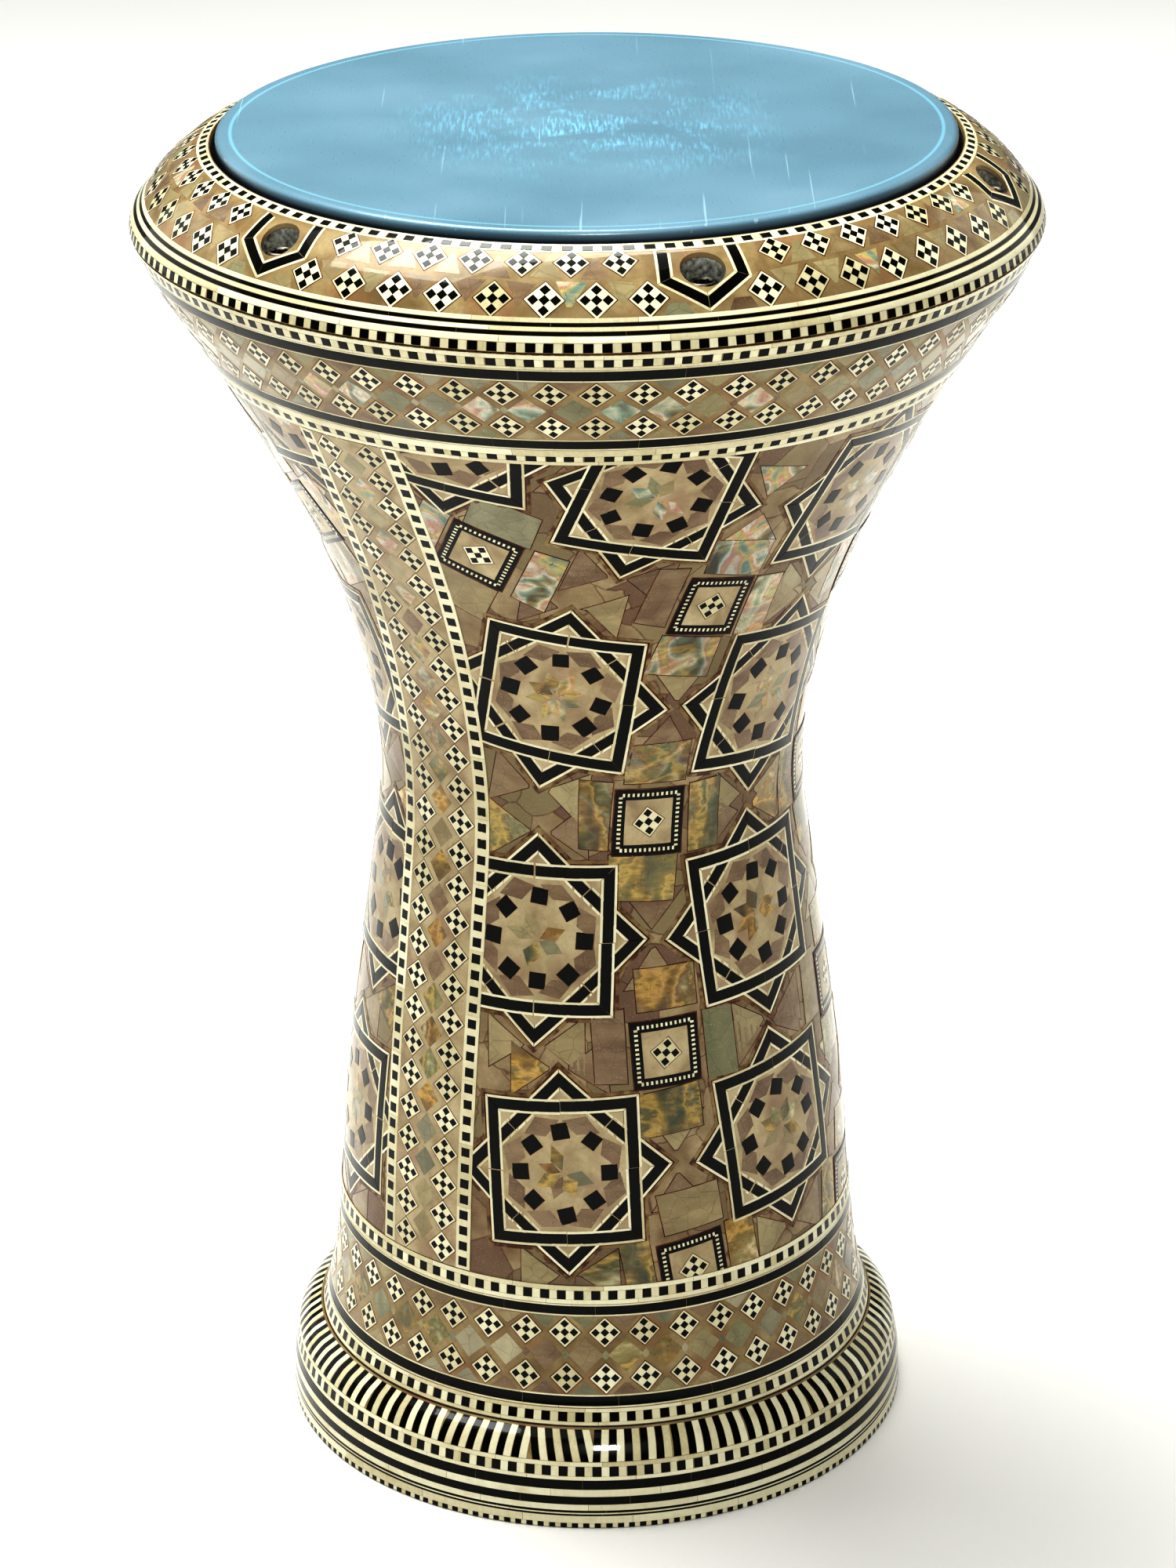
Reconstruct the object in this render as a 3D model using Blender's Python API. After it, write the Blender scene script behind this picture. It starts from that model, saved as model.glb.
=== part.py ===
"""Darbuka: a goblet drum with a cast aluminium shell, mother-of-pearl inlay and a bolted head.

Metres, +Z up. The origin is the centre of the foot's lower face, and the front of the drum is -Y.
Every turned piece is an outline of (radius, height) points in millimetres, spun about its axis.
"""

from math import ceil, cos, hypot, pi, radians, sin, sqrt

import bmesh
import bpy
from mathutils import Matrix, Vector

MM = 0.001
SEGMENTS = 36
SMALL_SEGMENTS = 12
BORE_SEGMENTS = 12
CREASE_ANGLE = radians(32)

# The drum's outer skin, in millimetres.
FOOT_RADIUS = 100.3
FOOT_SHOULDER_RADIUS = 98.0
FOOT_SHOULDER_HEIGHT = 22.7
STEM_START_RADIUS = 89.8
STEM_START_HEIGHT = 31.0
GOBLET_POINTS = (
    (STEM_START_RADIUS, STEM_START_HEIGHT),
    (86.8, 42.0),
    (84.2, 60.0),
    (80.3, 110.0),
    (75.6, 150.0),
    (70.0, 190.0),
    (66.5, 226.0),
    (71.8, 262.0),
    (84.0, 300.0),
    (104.0, 340.0),
    (121.3, 370.0),
    (131.6, 386.0),
    (137.3, 398.2),
)
SHOULDER_HEIGHT = 398.2
STEM_BAND_TOP = 77.0
BOWL_BAND_BOTTOM = 355.0

# Layers and clearances.
GAP = 0.3
INLAY_THICKNESS = 1.5
WALL_THICKNESS = 6.2
FOOT_MOUTH_RADIUS = 92.0
FLANGE_HEIGHT = 14.0

# The head: bearing edge, film and hoop.
NECK_RADIUS = 110.0
NECK_BORE_RADIUS = 104.5
BEARING_EDGE_HEIGHT = 424.7
BEARING_EDGE_ROUND = 2.6
FILM_THICKNESS = 0.5
HOOP_RADIUS = 114.6
HOOP_INNER_RADIUS = 110.4
HOOP_BOTTOM = 402.5
HOOP_TOP = 408.7
FILM_FLANGE_RADIUS = 114.0

# The tension ring.
RING_BOTTOM = 398.6
RING_INNER_RADIUS = 112.3
RING_POCKET_RADIUS = 115.0
RIM_POINTS = (
    (137.4, RING_BOTTOM),
    (136.6, 402.0),
    (134.0, 405.2),
    (129.3, 411.3),
    (124.0, 416.3),
    (118.0, 420.4),
    (112.6, 422.5),
)

# M6 socket head bolts, their washers and their inserts.
BOLT_COUNT = 6
FIRST_BOLT_ANGLE = radians(-15)
BOLT_CIRCLE_RADIUS = 122.7
COUNTERBORE_RADIUS = 6.4
COUNTERBORE_FLOOR = 406.2
CLEARANCE_HOLE_RADIUS = 3.4
SHANK_RADIUS = 3.0
SHANK_END = 386.0
BOLT_HEAD_RADIUS = 4.8
BOLT_HEAD_HEIGHT = 6.0
BOLT_EDGE = 0.5
SOCKET_WIDTH = 5.0
SOCKET_DEPTH = 3.0
WASHER_RADIUS = 5.8
WASHER_THICKNESS = 1.2
INSERT_RADIUS = 4.6
INSERT_BORE_RADIUS = 3.3
INSERT_BOTTOM = 385.0
INSERT_TOP = 397.7
INSERT_HOLE_FLOOR = 384.5


# ---------------------------------------------------------------- outlines


def curve_radius(points, height):
    """Radius at a height on a smooth curve through the points, whose slopes come from their neighbours."""
    last = len(points) - 1
    index = next((i for i in range(last) if height <= points[i + 1][1]), last - 1)
    (r0, z0), (r1, z1) = points[index], points[index + 1]

    def slope(i):
        (ra, za), (rb, zb) = points[max(i - 1, 0)], points[min(i + 1, last)]
        return (rb - ra) / (zb - za)

    span = z1 - z0
    t = (height - z0) / span
    rise = t * t * (3 - 2 * t)
    return (
        r0
        + (r1 - r0) * rise
        + slope(index) * span * t * (1 - t) ** 2
        - slope(index + 1) * span * t * t * (1 - t)
    )


def goblet_stretch(bottom, top, step):
    """Points on the goblet's skin between two heights, evenly spaced by about the step."""
    count = max(1, ceil((top - bottom) / step))
    heights = [bottom + (top - bottom) * i / count for i in range(count + 1)]
    return [(curve_radius(GOBLET_POINTS, z), z) for z in heights]


def foot_stretch(bottom):
    """The foot's skin: an upright edge, then a rounded shoulder that meets the stem."""
    start, end = radians(12), radians(62)
    reach = FOOT_SHOULDER_RADIUS - STEM_START_RADIUS
    rise = STEM_START_HEIGHT - GAP - FOOT_SHOULDER_HEIGHT
    shoulder = []
    for i in range(1, 4):
        angle = start + (end - start) * i / 3
        along = (cos(start) - cos(angle)) / (cos(start) - cos(end))
        up = (sin(angle) - sin(start)) / (sin(end) - sin(start))
        shoulder.append((FOOT_SHOULDER_RADIUS - reach * along, FOOT_SHOULDER_HEIGHT + rise * up))
    lower = [(FOOT_RADIUS, bottom), (FOOT_RADIUS - 0.4, 12.0)]
    return lower + [(FOOT_SHOULDER_RADIUS, FOOT_SHOULDER_HEIGHT)] + shoulder


def inset(points, depth, upright_end=False):
    """The same outline moved inwards by the depth. Its ends stay level, or the last stays upright."""
    moved = []
    last = len(points) - 1
    for i, (r, z) in enumerate(points):
        (ra, za), (rb, zb) = points[max(i - 1, 0)], points[min(i + 1, last)]
        before = Vector((r - ra, z - za)).normalized() if i else None
        after = Vector((rb - r, zb - z)).normalized() if i < last else None
        first = before or after
        second = after or before
        tangent = (first + second).normalized()
        normal = Vector((tangent.y, -tangent.x))
        if i in (0, last) and not (i == last and upright_end):
            moved.append((r - depth / normal.x, z))
        elif i == last:
            moved.append((r, z - depth / normal.y))
        else:
            stretch = depth / sqrt((1 + first.dot(second)) / 2)
            moved.append((r - normal.x * stretch, z - normal.y * stretch))
    return moved


def quarter_round(centre_radius, centre_height, radius, steps=3):
    """Points round a quarter circle, from its outermost point to its top."""
    angles = [pi / 2 * i / steps for i in range(steps + 1)]
    return [(centre_radius + radius * cos(a), centre_height + radius * sin(a)) for a in angles]


# ---------------------------------------------------------------- meshes


def material(name, colour, roughness, metallic=0.0, alpha=1.0):
    made = bpy.data.materials.new(name)
    made.use_nodes = True
    shader = made.node_tree.nodes["Principled BSDF"]
    shader.inputs["Base Color"].default_value = (*colour, 1.0)
    shader.inputs["Roughness"].default_value = roughness
    shader.inputs["Metallic"].default_value = metallic
    shader.inputs["Alpha"].default_value = alpha
    return made


def spin_outline(shape, outline, segments, closed=True):
    """Spins an outline about Z. A closed one is a ring's section, and an open one ends on the axis."""
    verts = [shape.verts.new((r * MM, 0, z * MM)) for r, z in outline]
    pairs = list(zip(verts, verts[1:] + verts[:1])) if closed else list(zip(verts, verts[1:]))
    edges = [shape.edges.new(pair) for pair in pairs]
    bmesh.ops.spin(
        shape,
        geom=verts + edges,
        cent=(0, 0, 0),
        axis=(0, 0, 1),
        angle=2 * pi,
        steps=segments,
        use_merge=True,
    )
    bmesh.ops.remove_doubles(shape, verts=shape.verts, dist=1e-6)
    bmesh.ops.dissolve_degenerate(shape, edges=shape.edges, dist=1e-7)
    bmesh.ops.recalc_face_normals(shape, faces=shape.faces)


def mesh_of(name, shape):
    mesh = bpy.data.meshes.new(name)
    shape.to_mesh(mesh)
    shape.free()
    mesh.shade_smooth()
    mesh.set_sharp_from_angle(angle=CREASE_ANGLE)
    return mesh


def add_object(name, mesh, look=None):
    made = bpy.data.objects.new(name, mesh)
    if look and not mesh.materials:
        mesh.materials.append(look)
    bpy.context.scene.collection.objects.link(made)
    return made


def turned_mesh(name, outline, segments, closed=True):
    shape = bmesh.new()
    spin_outline(shape, outline, segments, closed)
    return mesh_of(name, shape)


def turned(name, outline, look, closed=True):
    return add_object(name, turned_mesh(name, outline, SEGMENTS, closed), look)


def bolt_place(index):
    angle = FIRST_BOLT_ANGLE + 2 * pi * index / BOLT_COUNT
    return Vector((cos(angle), sin(angle), 0)) * BOLT_CIRCLE_RADIUS * MM


def cut_at_bolts(target, outline):
    """Cuts the same turned shape out of the target at each bolt's place."""
    one = bmesh.new()
    spin_outline(one, outline, BORE_SEGMENTS, closed=False)
    single = bpy.data.meshes.new("bore")
    one.to_mesh(single)
    one.free()
    every = bmesh.new()
    for index in range(BOLT_COUNT):
        known = len(every.verts)
        every.from_mesh(single)
        every.verts.ensure_lookup_table()
        added = every.verts[known:]
        bmesh.ops.transform(every, matrix=Matrix.Translation(bolt_place(index)), verts=added)
    bpy.data.meshes.remove(single)
    cutter = add_object(target.name + "_cutter", mesh_of(target.name + "_cutter", every))
    cutter.hide_render = True
    cutter.display_type = "WIRE"
    cut = target.modifiers.new("bolt_holes", "BOOLEAN")
    cut.operation = "DIFFERENCE"
    cut.solver = "EXACT"
    cut.object = cutter


# ---------------------------------------------------------------- the shell and its inlay


def skin_layer(depth=0.0):
    """The outer skin from the foot to the shoulder, moved inwards, as four stretches from the bottom up."""
    stretches = (
        foot_stretch(bottom=GAP),
        goblet_stretch(STEM_START_HEIGHT, STEM_BAND_TOP - GAP, 12),
        goblet_stretch(STEM_BAND_TOP, BOWL_BAND_BOTTOM - GAP, 26),
        goblet_stretch(BOWL_BAND_BOTTOM, SHOULDER_HEIGHT, 15),
    )
    moved = inset(sum(stretches, []), depth)
    layers = []
    for stretch in stretches:
        layers.append(moved[: len(stretch)])
        moved = moved[len(stretch) :]
    return layers


def body_inlays(looks):
    names = "foot_inlay", "stem_band_inlay", "field_inlay", "bowl_band_inlay"
    for name, look, outer, inner in zip(names, looks, skin_layer(), skin_layer(INLAY_THICKNESS)):
        turned(name, outer + inner[::-1], look)


def body_shell(look):
    """Cast shell: foot ring, stem, bowl, a flange that holds the inserts, and the neck."""
    outer = sum(skin_layer(INLAY_THICKNESS + GAP), [])
    outer[0] = (outer[0][0], 0.0)
    centre = NECK_RADIUS - BEARING_EDGE_ROUND, BEARING_EDGE_HEIGHT - BEARING_EDGE_ROUND
    edge = quarter_round(*centre, BEARING_EDGE_ROUND)
    neck = [(NECK_RADIUS, SHOULDER_HEIGHT)] + edge + [(NECK_BORE_RADIUS, BEARING_EDGE_HEIGHT - 1.4)]
    flange_bottom = SHOULDER_HEIGHT - FLANGE_HEIGHT
    depth = INLAY_THICKNESS + GAP + WALL_THICKNESS
    inside = inset(goblet_stretch(34.0, flange_bottom - 3.0, 32), depth)
    flange = [(NECK_BORE_RADIUS, flange_bottom)]
    mouth = [(FOOT_MOUTH_RADIUS - 2.0, 18.0), (FOOT_MOUTH_RADIUS, 12.0), (FOOT_MOUTH_RADIUS, 0.0)]
    shell = turned("body_shell", outer + neck + flange + inside[::-1] + mouth, look)
    floor, top = INSERT_HOLE_FLOOR, SHOULDER_HEIGHT + 2.0
    radius = INSERT_RADIUS + GAP
    cut_at_bolts(shell, [(0, top), (radius, top), (radius, floor), (0, floor)])
    return shell


# ---------------------------------------------------------------- the ring and the head


def tension_ring(look):
    outer = inset(list(RIM_POINTS), INLAY_THICKNESS + GAP, upright_end=True)
    outer[-1] = (RING_INNER_RADIUS, outer[-1][1])
    ledge = HOOP_TOP + GAP + FILM_THICKNESS + GAP
    inside = [(RING_INNER_RADIUS, ledge), (RING_POCKET_RADIUS, ledge), (RING_POCKET_RADIUS, RING_BOTTOM)]
    ring = turned("tension_ring", outer + inside, look)
    top, below = RIM_POINTS[-1][1] + 2.0, RING_BOTTOM - 2.0
    bore = [(0, top), (COUNTERBORE_RADIUS, top), (COUNTERBORE_RADIUS, COUNTERBORE_FLOOR)]
    bore += [(CLEARANCE_HOLE_RADIUS, COUNTERBORE_FLOOR), (CLEARANCE_HOLE_RADIUS, below), (0, below)]
    cut_at_bolts(ring, bore)
    return ring


def rim_inlay(look):
    stretch = list(RIM_POINTS)
    skin_inside = inset(stretch, INLAY_THICKNESS, upright_end=True)
    made = turned("rim_inlay", stretch + skin_inside[::-1], look)
    top, below = RIM_POINTS[-1][1] + 2.0, RIM_POINTS[2][1]
    radius = COUNTERBORE_RADIUS + GAP
    cut_at_bolts(made, [(0, top), (radius, top), (radius, below), (0, below)])
    return made


def head_hoop(look):
    outline = [
        (HOOP_RADIUS, HOOP_BOTTOM),
        (HOOP_RADIUS, HOOP_TOP),
        (HOOP_INNER_RADIUS, HOOP_TOP),
        (HOOP_INNER_RADIUS, HOOP_BOTTOM),
    ]
    return turned("head_hoop", outline, look)


def head_film(look):
    """Film that runs over the bearing edge, down its collar and out over the hoop."""
    centre = NECK_RADIUS - BEARING_EDGE_ROUND, BEARING_EDGE_HEIGHT - BEARING_EDGE_ROUND
    under = quarter_round(*centre, BEARING_EDGE_ROUND + GAP)
    over = quarter_round(*centre, BEARING_EDGE_ROUND + GAP + FILM_THICKNESS)
    flange_bottom = HOOP_TOP + GAP
    flange_top = flange_bottom + FILM_THICKNESS
    outline = [(0, under[-1][1])] + under[::-1] + [(under[0][0], flange_bottom)]
    outline += [(FILM_FLANGE_RADIUS, flange_bottom), (FILM_FLANGE_RADIUS, flange_top)]
    outline += [(over[0][0], flange_top)] + over + [(0, over[-1][1])]
    return turned("head_film", outline, look, closed=False)


# ---------------------------------------------------------------- bolts, washers and inserts


def hexagonal_radius(corner_radius, angle):
    """Distance from the centre of a hexagon to its side, in a direction that a corner's is zero."""
    from_flat = (angle % (pi / 3)) - pi / 6
    return corner_radius * cos(pi / 6) / cos(from_flat)


def bolt_mesh():
    """Socket head bolt about the origin, at its own height. The round socket is then made hexagonal."""
    seat = COUNTERBORE_FLOOR + GAP + WASHER_THICKNESS + GAP
    top = seat + BOLT_HEAD_HEIGHT
    corner = SOCKET_WIDTH / 2 / cos(pi / 6)
    socket_floor = top - SOCKET_DEPTH
    outline = [
        (0, SHANK_END),
        (SHANK_RADIUS - BOLT_EDGE, SHANK_END),
        (SHANK_RADIUS, SHANK_END + BOLT_EDGE),
        (SHANK_RADIUS, seat),
        (BOLT_HEAD_RADIUS, seat),
        (BOLT_HEAD_RADIUS, top - BOLT_EDGE),
        (BOLT_HEAD_RADIUS - BOLT_EDGE, top),
        (corner, top),
        (corner, socket_floor),
        (0, socket_floor),
    ]
    shape = bmesh.new()
    spin_outline(shape, outline, SMALL_SEGMENTS, closed=False)
    for vert in shape.verts:
        x, y, z = vert.co / MM
        radius = hypot(x, y)
        if z > seat and 0.5 * corner < radius < corner + 0.1:
            direction = Vector((x, y)).normalized()
            angle = direction.angle_signed(Vector((1, 0)))
            vert.co.xy = direction * hexagonal_radius(corner, angle) * MM
    return mesh_of("tension_bolt", shape)


def tube_mesh(name, outer_radius, inner_radius, bottom, top):
    outline = [(outer_radius, bottom), (outer_radius, top), (inner_radius, top), (inner_radius, bottom)]
    return turned_mesh(name, outline, SMALL_SEGMENTS)


def bolt_sets(steel, zinc, brass):
    bolt = bolt_mesh()
    washer_bottom = COUNTERBORE_FLOOR + GAP
    washer_top = washer_bottom + WASHER_THICKNESS
    washer = tube_mesh("bolt_washer", WASHER_RADIUS, INSERT_BORE_RADIUS, washer_bottom, washer_top)
    insert = tube_mesh("thread_insert", INSERT_RADIUS, INSERT_BORE_RADIUS, INSERT_BOTTOM, INSERT_TOP)
    for index in range(BOLT_COUNT):
        place = bolt_place(index)
        number = index + 1
        add_object(f"tension_bolt_{number}", bolt, steel).location = place
        add_object(f"bolt_washer_{number}", washer, zinc).location = place
        add_object(f"thread_insert_{number}", insert, brass).location = place


# ---------------------------------------------------------------- the whole drum


def main():
    for old in list(bpy.data.objects):
        bpy.data.objects.remove(old, do_unlink=True)
    aluminium = material("cast_aluminium", (0.56, 0.56, 0.57), 0.42, metallic=1.0)
    ring_aluminium = material("ring_aluminium", (0.5, 0.5, 0.51), 0.35, metallic=1.0)
    hoop_aluminium = material("hoop_aluminium", (0.7, 0.7, 0.72), 0.3, metallic=1.0)
    bowl_look = material("bowl_band_inlay", (0.62, 0.55, 0.4), 0.12)
    field_look = material("field_inlay", (0.36, 0.3, 0.2), 0.12)
    stem_look = material("stem_band_inlay", (0.6, 0.53, 0.38), 0.12)
    foot_look = material("foot_inlay", (0.5, 0.46, 0.35), 0.12)
    rim_look = material("rim_inlay", (0.66, 0.58, 0.42), 0.12)
    film_look = material("head_film", (0.17, 0.46, 0.68), 0.25, alpha=0.9)
    steel = material("blackened_steel", (0.04, 0.04, 0.045), 0.35, metallic=1.0)
    zinc = material("zinc_plated_steel", (0.62, 0.62, 0.63), 0.3, metallic=1.0)
    brass = material("brass", (0.78, 0.57, 0.24), 0.35, metallic=1.0)

    body_shell(aluminium)
    body_inlays((foot_look, stem_look, field_look, bowl_look))
    tension_ring(ring_aluminium)
    rim_inlay(rim_look)
    head_hoop(hoop_aluminium)
    head_film(film_look)
    bolt_sets(steel, zinc, brass)


main()
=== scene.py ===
"""Finishes a darbuka, a goblet drum whose cast shell is covered in pearl, bone and black inlay.

The drum's frame is loaded first. Each operator below then builds one group of pieces on it. Lengths in the
layout are millimetres, and angles run round the drum from the front, growing to the right.
"""

import math

import bmesh
import bpy
import numpy as np
from mathutils import Matrix, Vector


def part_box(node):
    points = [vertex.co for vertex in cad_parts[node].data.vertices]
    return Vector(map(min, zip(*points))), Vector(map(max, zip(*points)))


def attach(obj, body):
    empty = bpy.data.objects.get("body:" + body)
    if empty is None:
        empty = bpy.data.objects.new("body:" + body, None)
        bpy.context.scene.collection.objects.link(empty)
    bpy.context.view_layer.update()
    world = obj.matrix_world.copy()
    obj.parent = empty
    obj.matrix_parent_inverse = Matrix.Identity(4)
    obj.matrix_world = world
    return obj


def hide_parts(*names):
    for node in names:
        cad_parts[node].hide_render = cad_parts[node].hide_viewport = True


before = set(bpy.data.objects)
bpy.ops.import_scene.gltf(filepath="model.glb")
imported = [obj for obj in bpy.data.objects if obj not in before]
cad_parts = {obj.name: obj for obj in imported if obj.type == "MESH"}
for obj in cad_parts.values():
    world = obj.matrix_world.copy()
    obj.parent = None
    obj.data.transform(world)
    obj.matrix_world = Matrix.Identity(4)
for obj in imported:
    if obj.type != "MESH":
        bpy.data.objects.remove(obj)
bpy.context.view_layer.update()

bl_info = {
    "name": "Darbuka Inlay",
    "version": (1, 0, 0),
    "blender": (4, 5, 0),
    "location": "View3D > Sidebar > Darbuka",
    "description": "Builds the inlay, head, ring and bolts of a goblet drum",
    "category": "Add Mesh",
}

MM = 0.001


# ---------------------------------------------------------------- outlines of the drum


def box_mm(node):
    """Lowest and highest corner of a node's box, in millimetres."""
    low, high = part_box(node)
    return np.array(low) / MM, np.array(high) / MM


RIM_LOW, RIM_HIGH = box_mm("rim_inlay")
FILM_TOP = box_mm("head_film")[1][2]
SHOULDER = box_mm("bowl_band_inlay")[1][2]
FIELD_BOTTOM, FIELD_TOP = box_mm("field_inlay")[0][2], box_mm("field_inlay")[1][2]
STEM_BOTTOM = box_mm("stem_band_inlay")[0][2]
FOOT_RADIUS = box_mm("foot_inlay")[1][0]
FOOT_BOTTOM = box_mm("foot_inlay")[0][2]

STEM_RADIUS = 89.8
GOBLET = np.array(
    [
        (STEM_RADIUS, STEM_BOTTOM),
        (86.8, 42.0),
        (84.2, 60.0),
        (80.3, 110.0),
        (75.6, 150.0),
        (70.0, 190.0),
        (66.5, 226.0),
        (71.8, 262.0),
        (84.0, 300.0),
        (104.0, 340.0),
        (121.3, 370.0),
        (131.6, 386.0),
        (137.3, SHOULDER),
    ]
)
FOOT = [(FOOT_RADIUS, FOOT_BOTTOM), (FOOT_RADIUS - 0.4, 12.0), (98.0, 22.7), (96.9, 24.8), (94.4, 27.8)]
RIM = [
    (RIM_HIGH[0], RIM_LOW[2]),
    (136.6, 402.0),
    (134.0, 405.2),
    (129.3, 411.3),
    (124.0, 416.3),
    (118.0, 420.4),
    (112.6, RIM_HIGH[2]),
]


def smooth_radius(points, heights):
    """Radius at each height, on cubics through the points whose slopes come from their neighbours."""
    r, z = points[:, 0], points[:, 1]
    slope = np.empty(len(r))
    slope[1:-1] = (r[2:] - r[:-2]) / (z[2:] - z[:-2])
    slope[0], slope[-1] = (r[1] - r[0]) / (z[1] - z[0]), (r[-1] - r[-2]) / (z[-1] - z[-2])
    i = np.clip(np.searchsorted(z, heights) - 1, 0, len(z) - 2)
    span = z[i + 1] - z[i]
    t = (heights - z[i]) / span
    ease = t * t * (3 - 2 * t)
    lean = slope[i] * t * (1 - t) ** 2 - slope[i + 1] * t * t * (1 - t)
    return r[i] + (r[i + 1] - r[i]) * ease + lean * span


class Skin:
    """A turned surface. A place on it is an angle, a distance along the outline and a height off it.

    The outline is read at even steps and its corners are rounded by a bell-shaped average, so its
    tangent, and from it the outward normal, turns smoothly from one end to the other.
    """

    STEP = 0.25

    def __init__(self, outline, rounding):
        points = np.array(outline, float)
        run = np.concatenate([[0], np.cumsum(np.hypot(*np.diff(points, axis=0).T))])
        self.s = np.arange(0, run[-1] + self.STEP / 2, self.STEP)
        reach = int(3 * rounding / self.STEP)
        bell = np.exp(-0.5 * (np.arange(-reach, reach + 1) * self.STEP / rounding) ** 2)
        bell /= bell.sum()
        smooth = []
        for column in (0, 1):
            even = np.interp(self.s, run, points[:, column])
            padded = np.pad(even, reach, mode="reflect", reflect_type="odd")
            smooth.append(np.convolve(padded, bell, mode="valid"))
        self.r, self.z = smooth
        turn_r, turn_z = np.gradient(self.r), np.gradient(self.z)
        length = np.hypot(turn_r, turn_z)
        self.turn_r, self.turn_z = turn_r / length, turn_z / length
        self.length = self.s[-1]

    def at_height(self, z):
        """Distance along the outline where it reaches a height."""
        return float(np.interp(z, self.z, self.s))

    def at_radius(self, r):
        """Distance along the outline where it reaches a radius."""
        order = np.argsort(self.r)
        return float(np.interp(r, self.r[order], self.s[order]))

    def radius(self, s):
        return np.interp(s, self.s, self.r)

    def place(self, angle, s, height):
        """Position in millimetres: the outline's point, pushed out along its normal, turned by the angle."""
        turn_r, turn_z = np.interp(s, self.s, self.turn_r), np.interp(s, self.s, self.turn_z)
        radius = self.radius(s) + turn_z * height
        z = np.interp(s, self.s, self.z) - turn_r * height
        return np.stack([radius * np.sin(angle), -radius * np.cos(angle), z + 0 * angle], -1)

    def axes(self, angle, s):
        """Unit vectors across, along and out of the surface."""
        turn_r, turn_z = np.interp(s, self.s, self.turn_r), np.interp(s, self.s, self.turn_z)
        sin, cos, none = np.sin(angle), np.cos(angle), 0 * angle
        across = np.stack([cos, sin, none], -1)
        along = np.stack([turn_r * sin, -turn_r * cos, turn_z + none], -1)
        out = np.stack([turn_z * sin, -turn_z * cos, none - turn_r], -1)
        return across, along, out


def body_outline():
    """The foot's corners, then the goblet's smooth curve read at every millimetre of height."""
    heights = np.arange(STEM_BOTTOM, SHOULDER + 0.5, 1.0).clip(max=SHOULDER)
    goblet = np.stack([smooth_radius(GOBLET, heights), heights], -1)
    return FOOT + [tuple(point) for point in goblet]


def rim_outline():
    """The ring's skin, on cubics through its points taken by their distance along it."""
    points = np.array(RIM)
    run = np.concatenate([[0], np.cumsum(np.hypot(*np.diff(points, axis=0).T))])
    even = np.linspace(0, run[-1], 80)
    columns = [smooth_radius(np.stack([points[:, c], run], -1), even) for c in (0, 1)]
    return np.stack(columns, -1)


BODY = Skin(body_outline(), 0.7)
RING = Skin(rim_outline(), 0.5)


# ---------------------------------------------------------------- meshes


def add_piece(name, mesh, look, body, replaced=()):
    """Puts a finished mesh in the scene and says what it rides on and which nodes it stands for."""
    if not mesh.polygons:
        raise RuntimeError(f"{name} came out without a face")
    mesh.materials.append(look)
    piece = bpy.data.objects.new(name, mesh)
    bpy.context.scene.collection.objects.link(piece)
    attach(piece, body)
    if replaced:
        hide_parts(*replaced)
    return piece


def make_mesh(name, verts, quads, normals=None, tone=None):
    """A mesh from whole arrays: vertices in millimetres, quads of vertex numbers, normals and tile tones."""
    mesh = bpy.data.meshes.new(name)
    mesh.vertices.add(len(verts))
    mesh.vertices.foreach_set("co", (verts * MM).astype(np.float32).ravel())
    mesh.loops.add(quads.size)
    mesh.loops.foreach_set("vertex_index", quads.astype(np.int32).ravel())
    mesh.polygons.add(len(quads))
    mesh.polygons.foreach_set("loop_start", np.arange(0, quads.size, 4, dtype=np.int32))
    mesh.update(calc_edges=True)
    mesh.validate()
    mesh.shade_smooth()
    if tone is not None:
        layer = mesh.attributes.new("tone", "FLOAT", "POINT")
        layer.data.foreach_set("value", tone.astype(np.float32))
    if normals is not None:
        mesh.normals_split_custom_set_from_vertices(normals)
    return mesh


def ring_quads(rows, columns):
    """Quads of a closed tube whose section has so many points (rows) at each of so many steps round."""
    row, column = np.meshgrid(np.arange(rows), np.arange(columns), indexing="ij")
    next_row, next_column = (row + 1) % rows, (column + 1) % columns
    corners = [row + column * rows, row + next_column * rows]
    corners += [next_row + next_column * rows, next_row + column * rows]
    return np.stack(corners, -1).reshape(-1, 4)


def turned(name, outline, segments=240, centre=(0, 0), sharp=30):
    """Surface of revolution: outline point (r, z) goes round the axis as (r sin a, -r cos a, z)."""
    points = np.array(outline, float)
    angle = np.linspace(0, 2 * np.pi, segments, endpoint=False)[:, None]
    r, z = points[:, 0][None, :], points[:, 1][None, :]
    verts = np.stack([r * np.sin(angle), -r * np.cos(angle), z + 0 * angle], -1).reshape(-1, 3)
    verts[:, :2] += centre
    mesh = make_mesh(name, verts, ring_quads(len(points), segments))
    mesh.set_sharp_from_angle(angle=math.radians(sharp))
    return mesh


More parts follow.
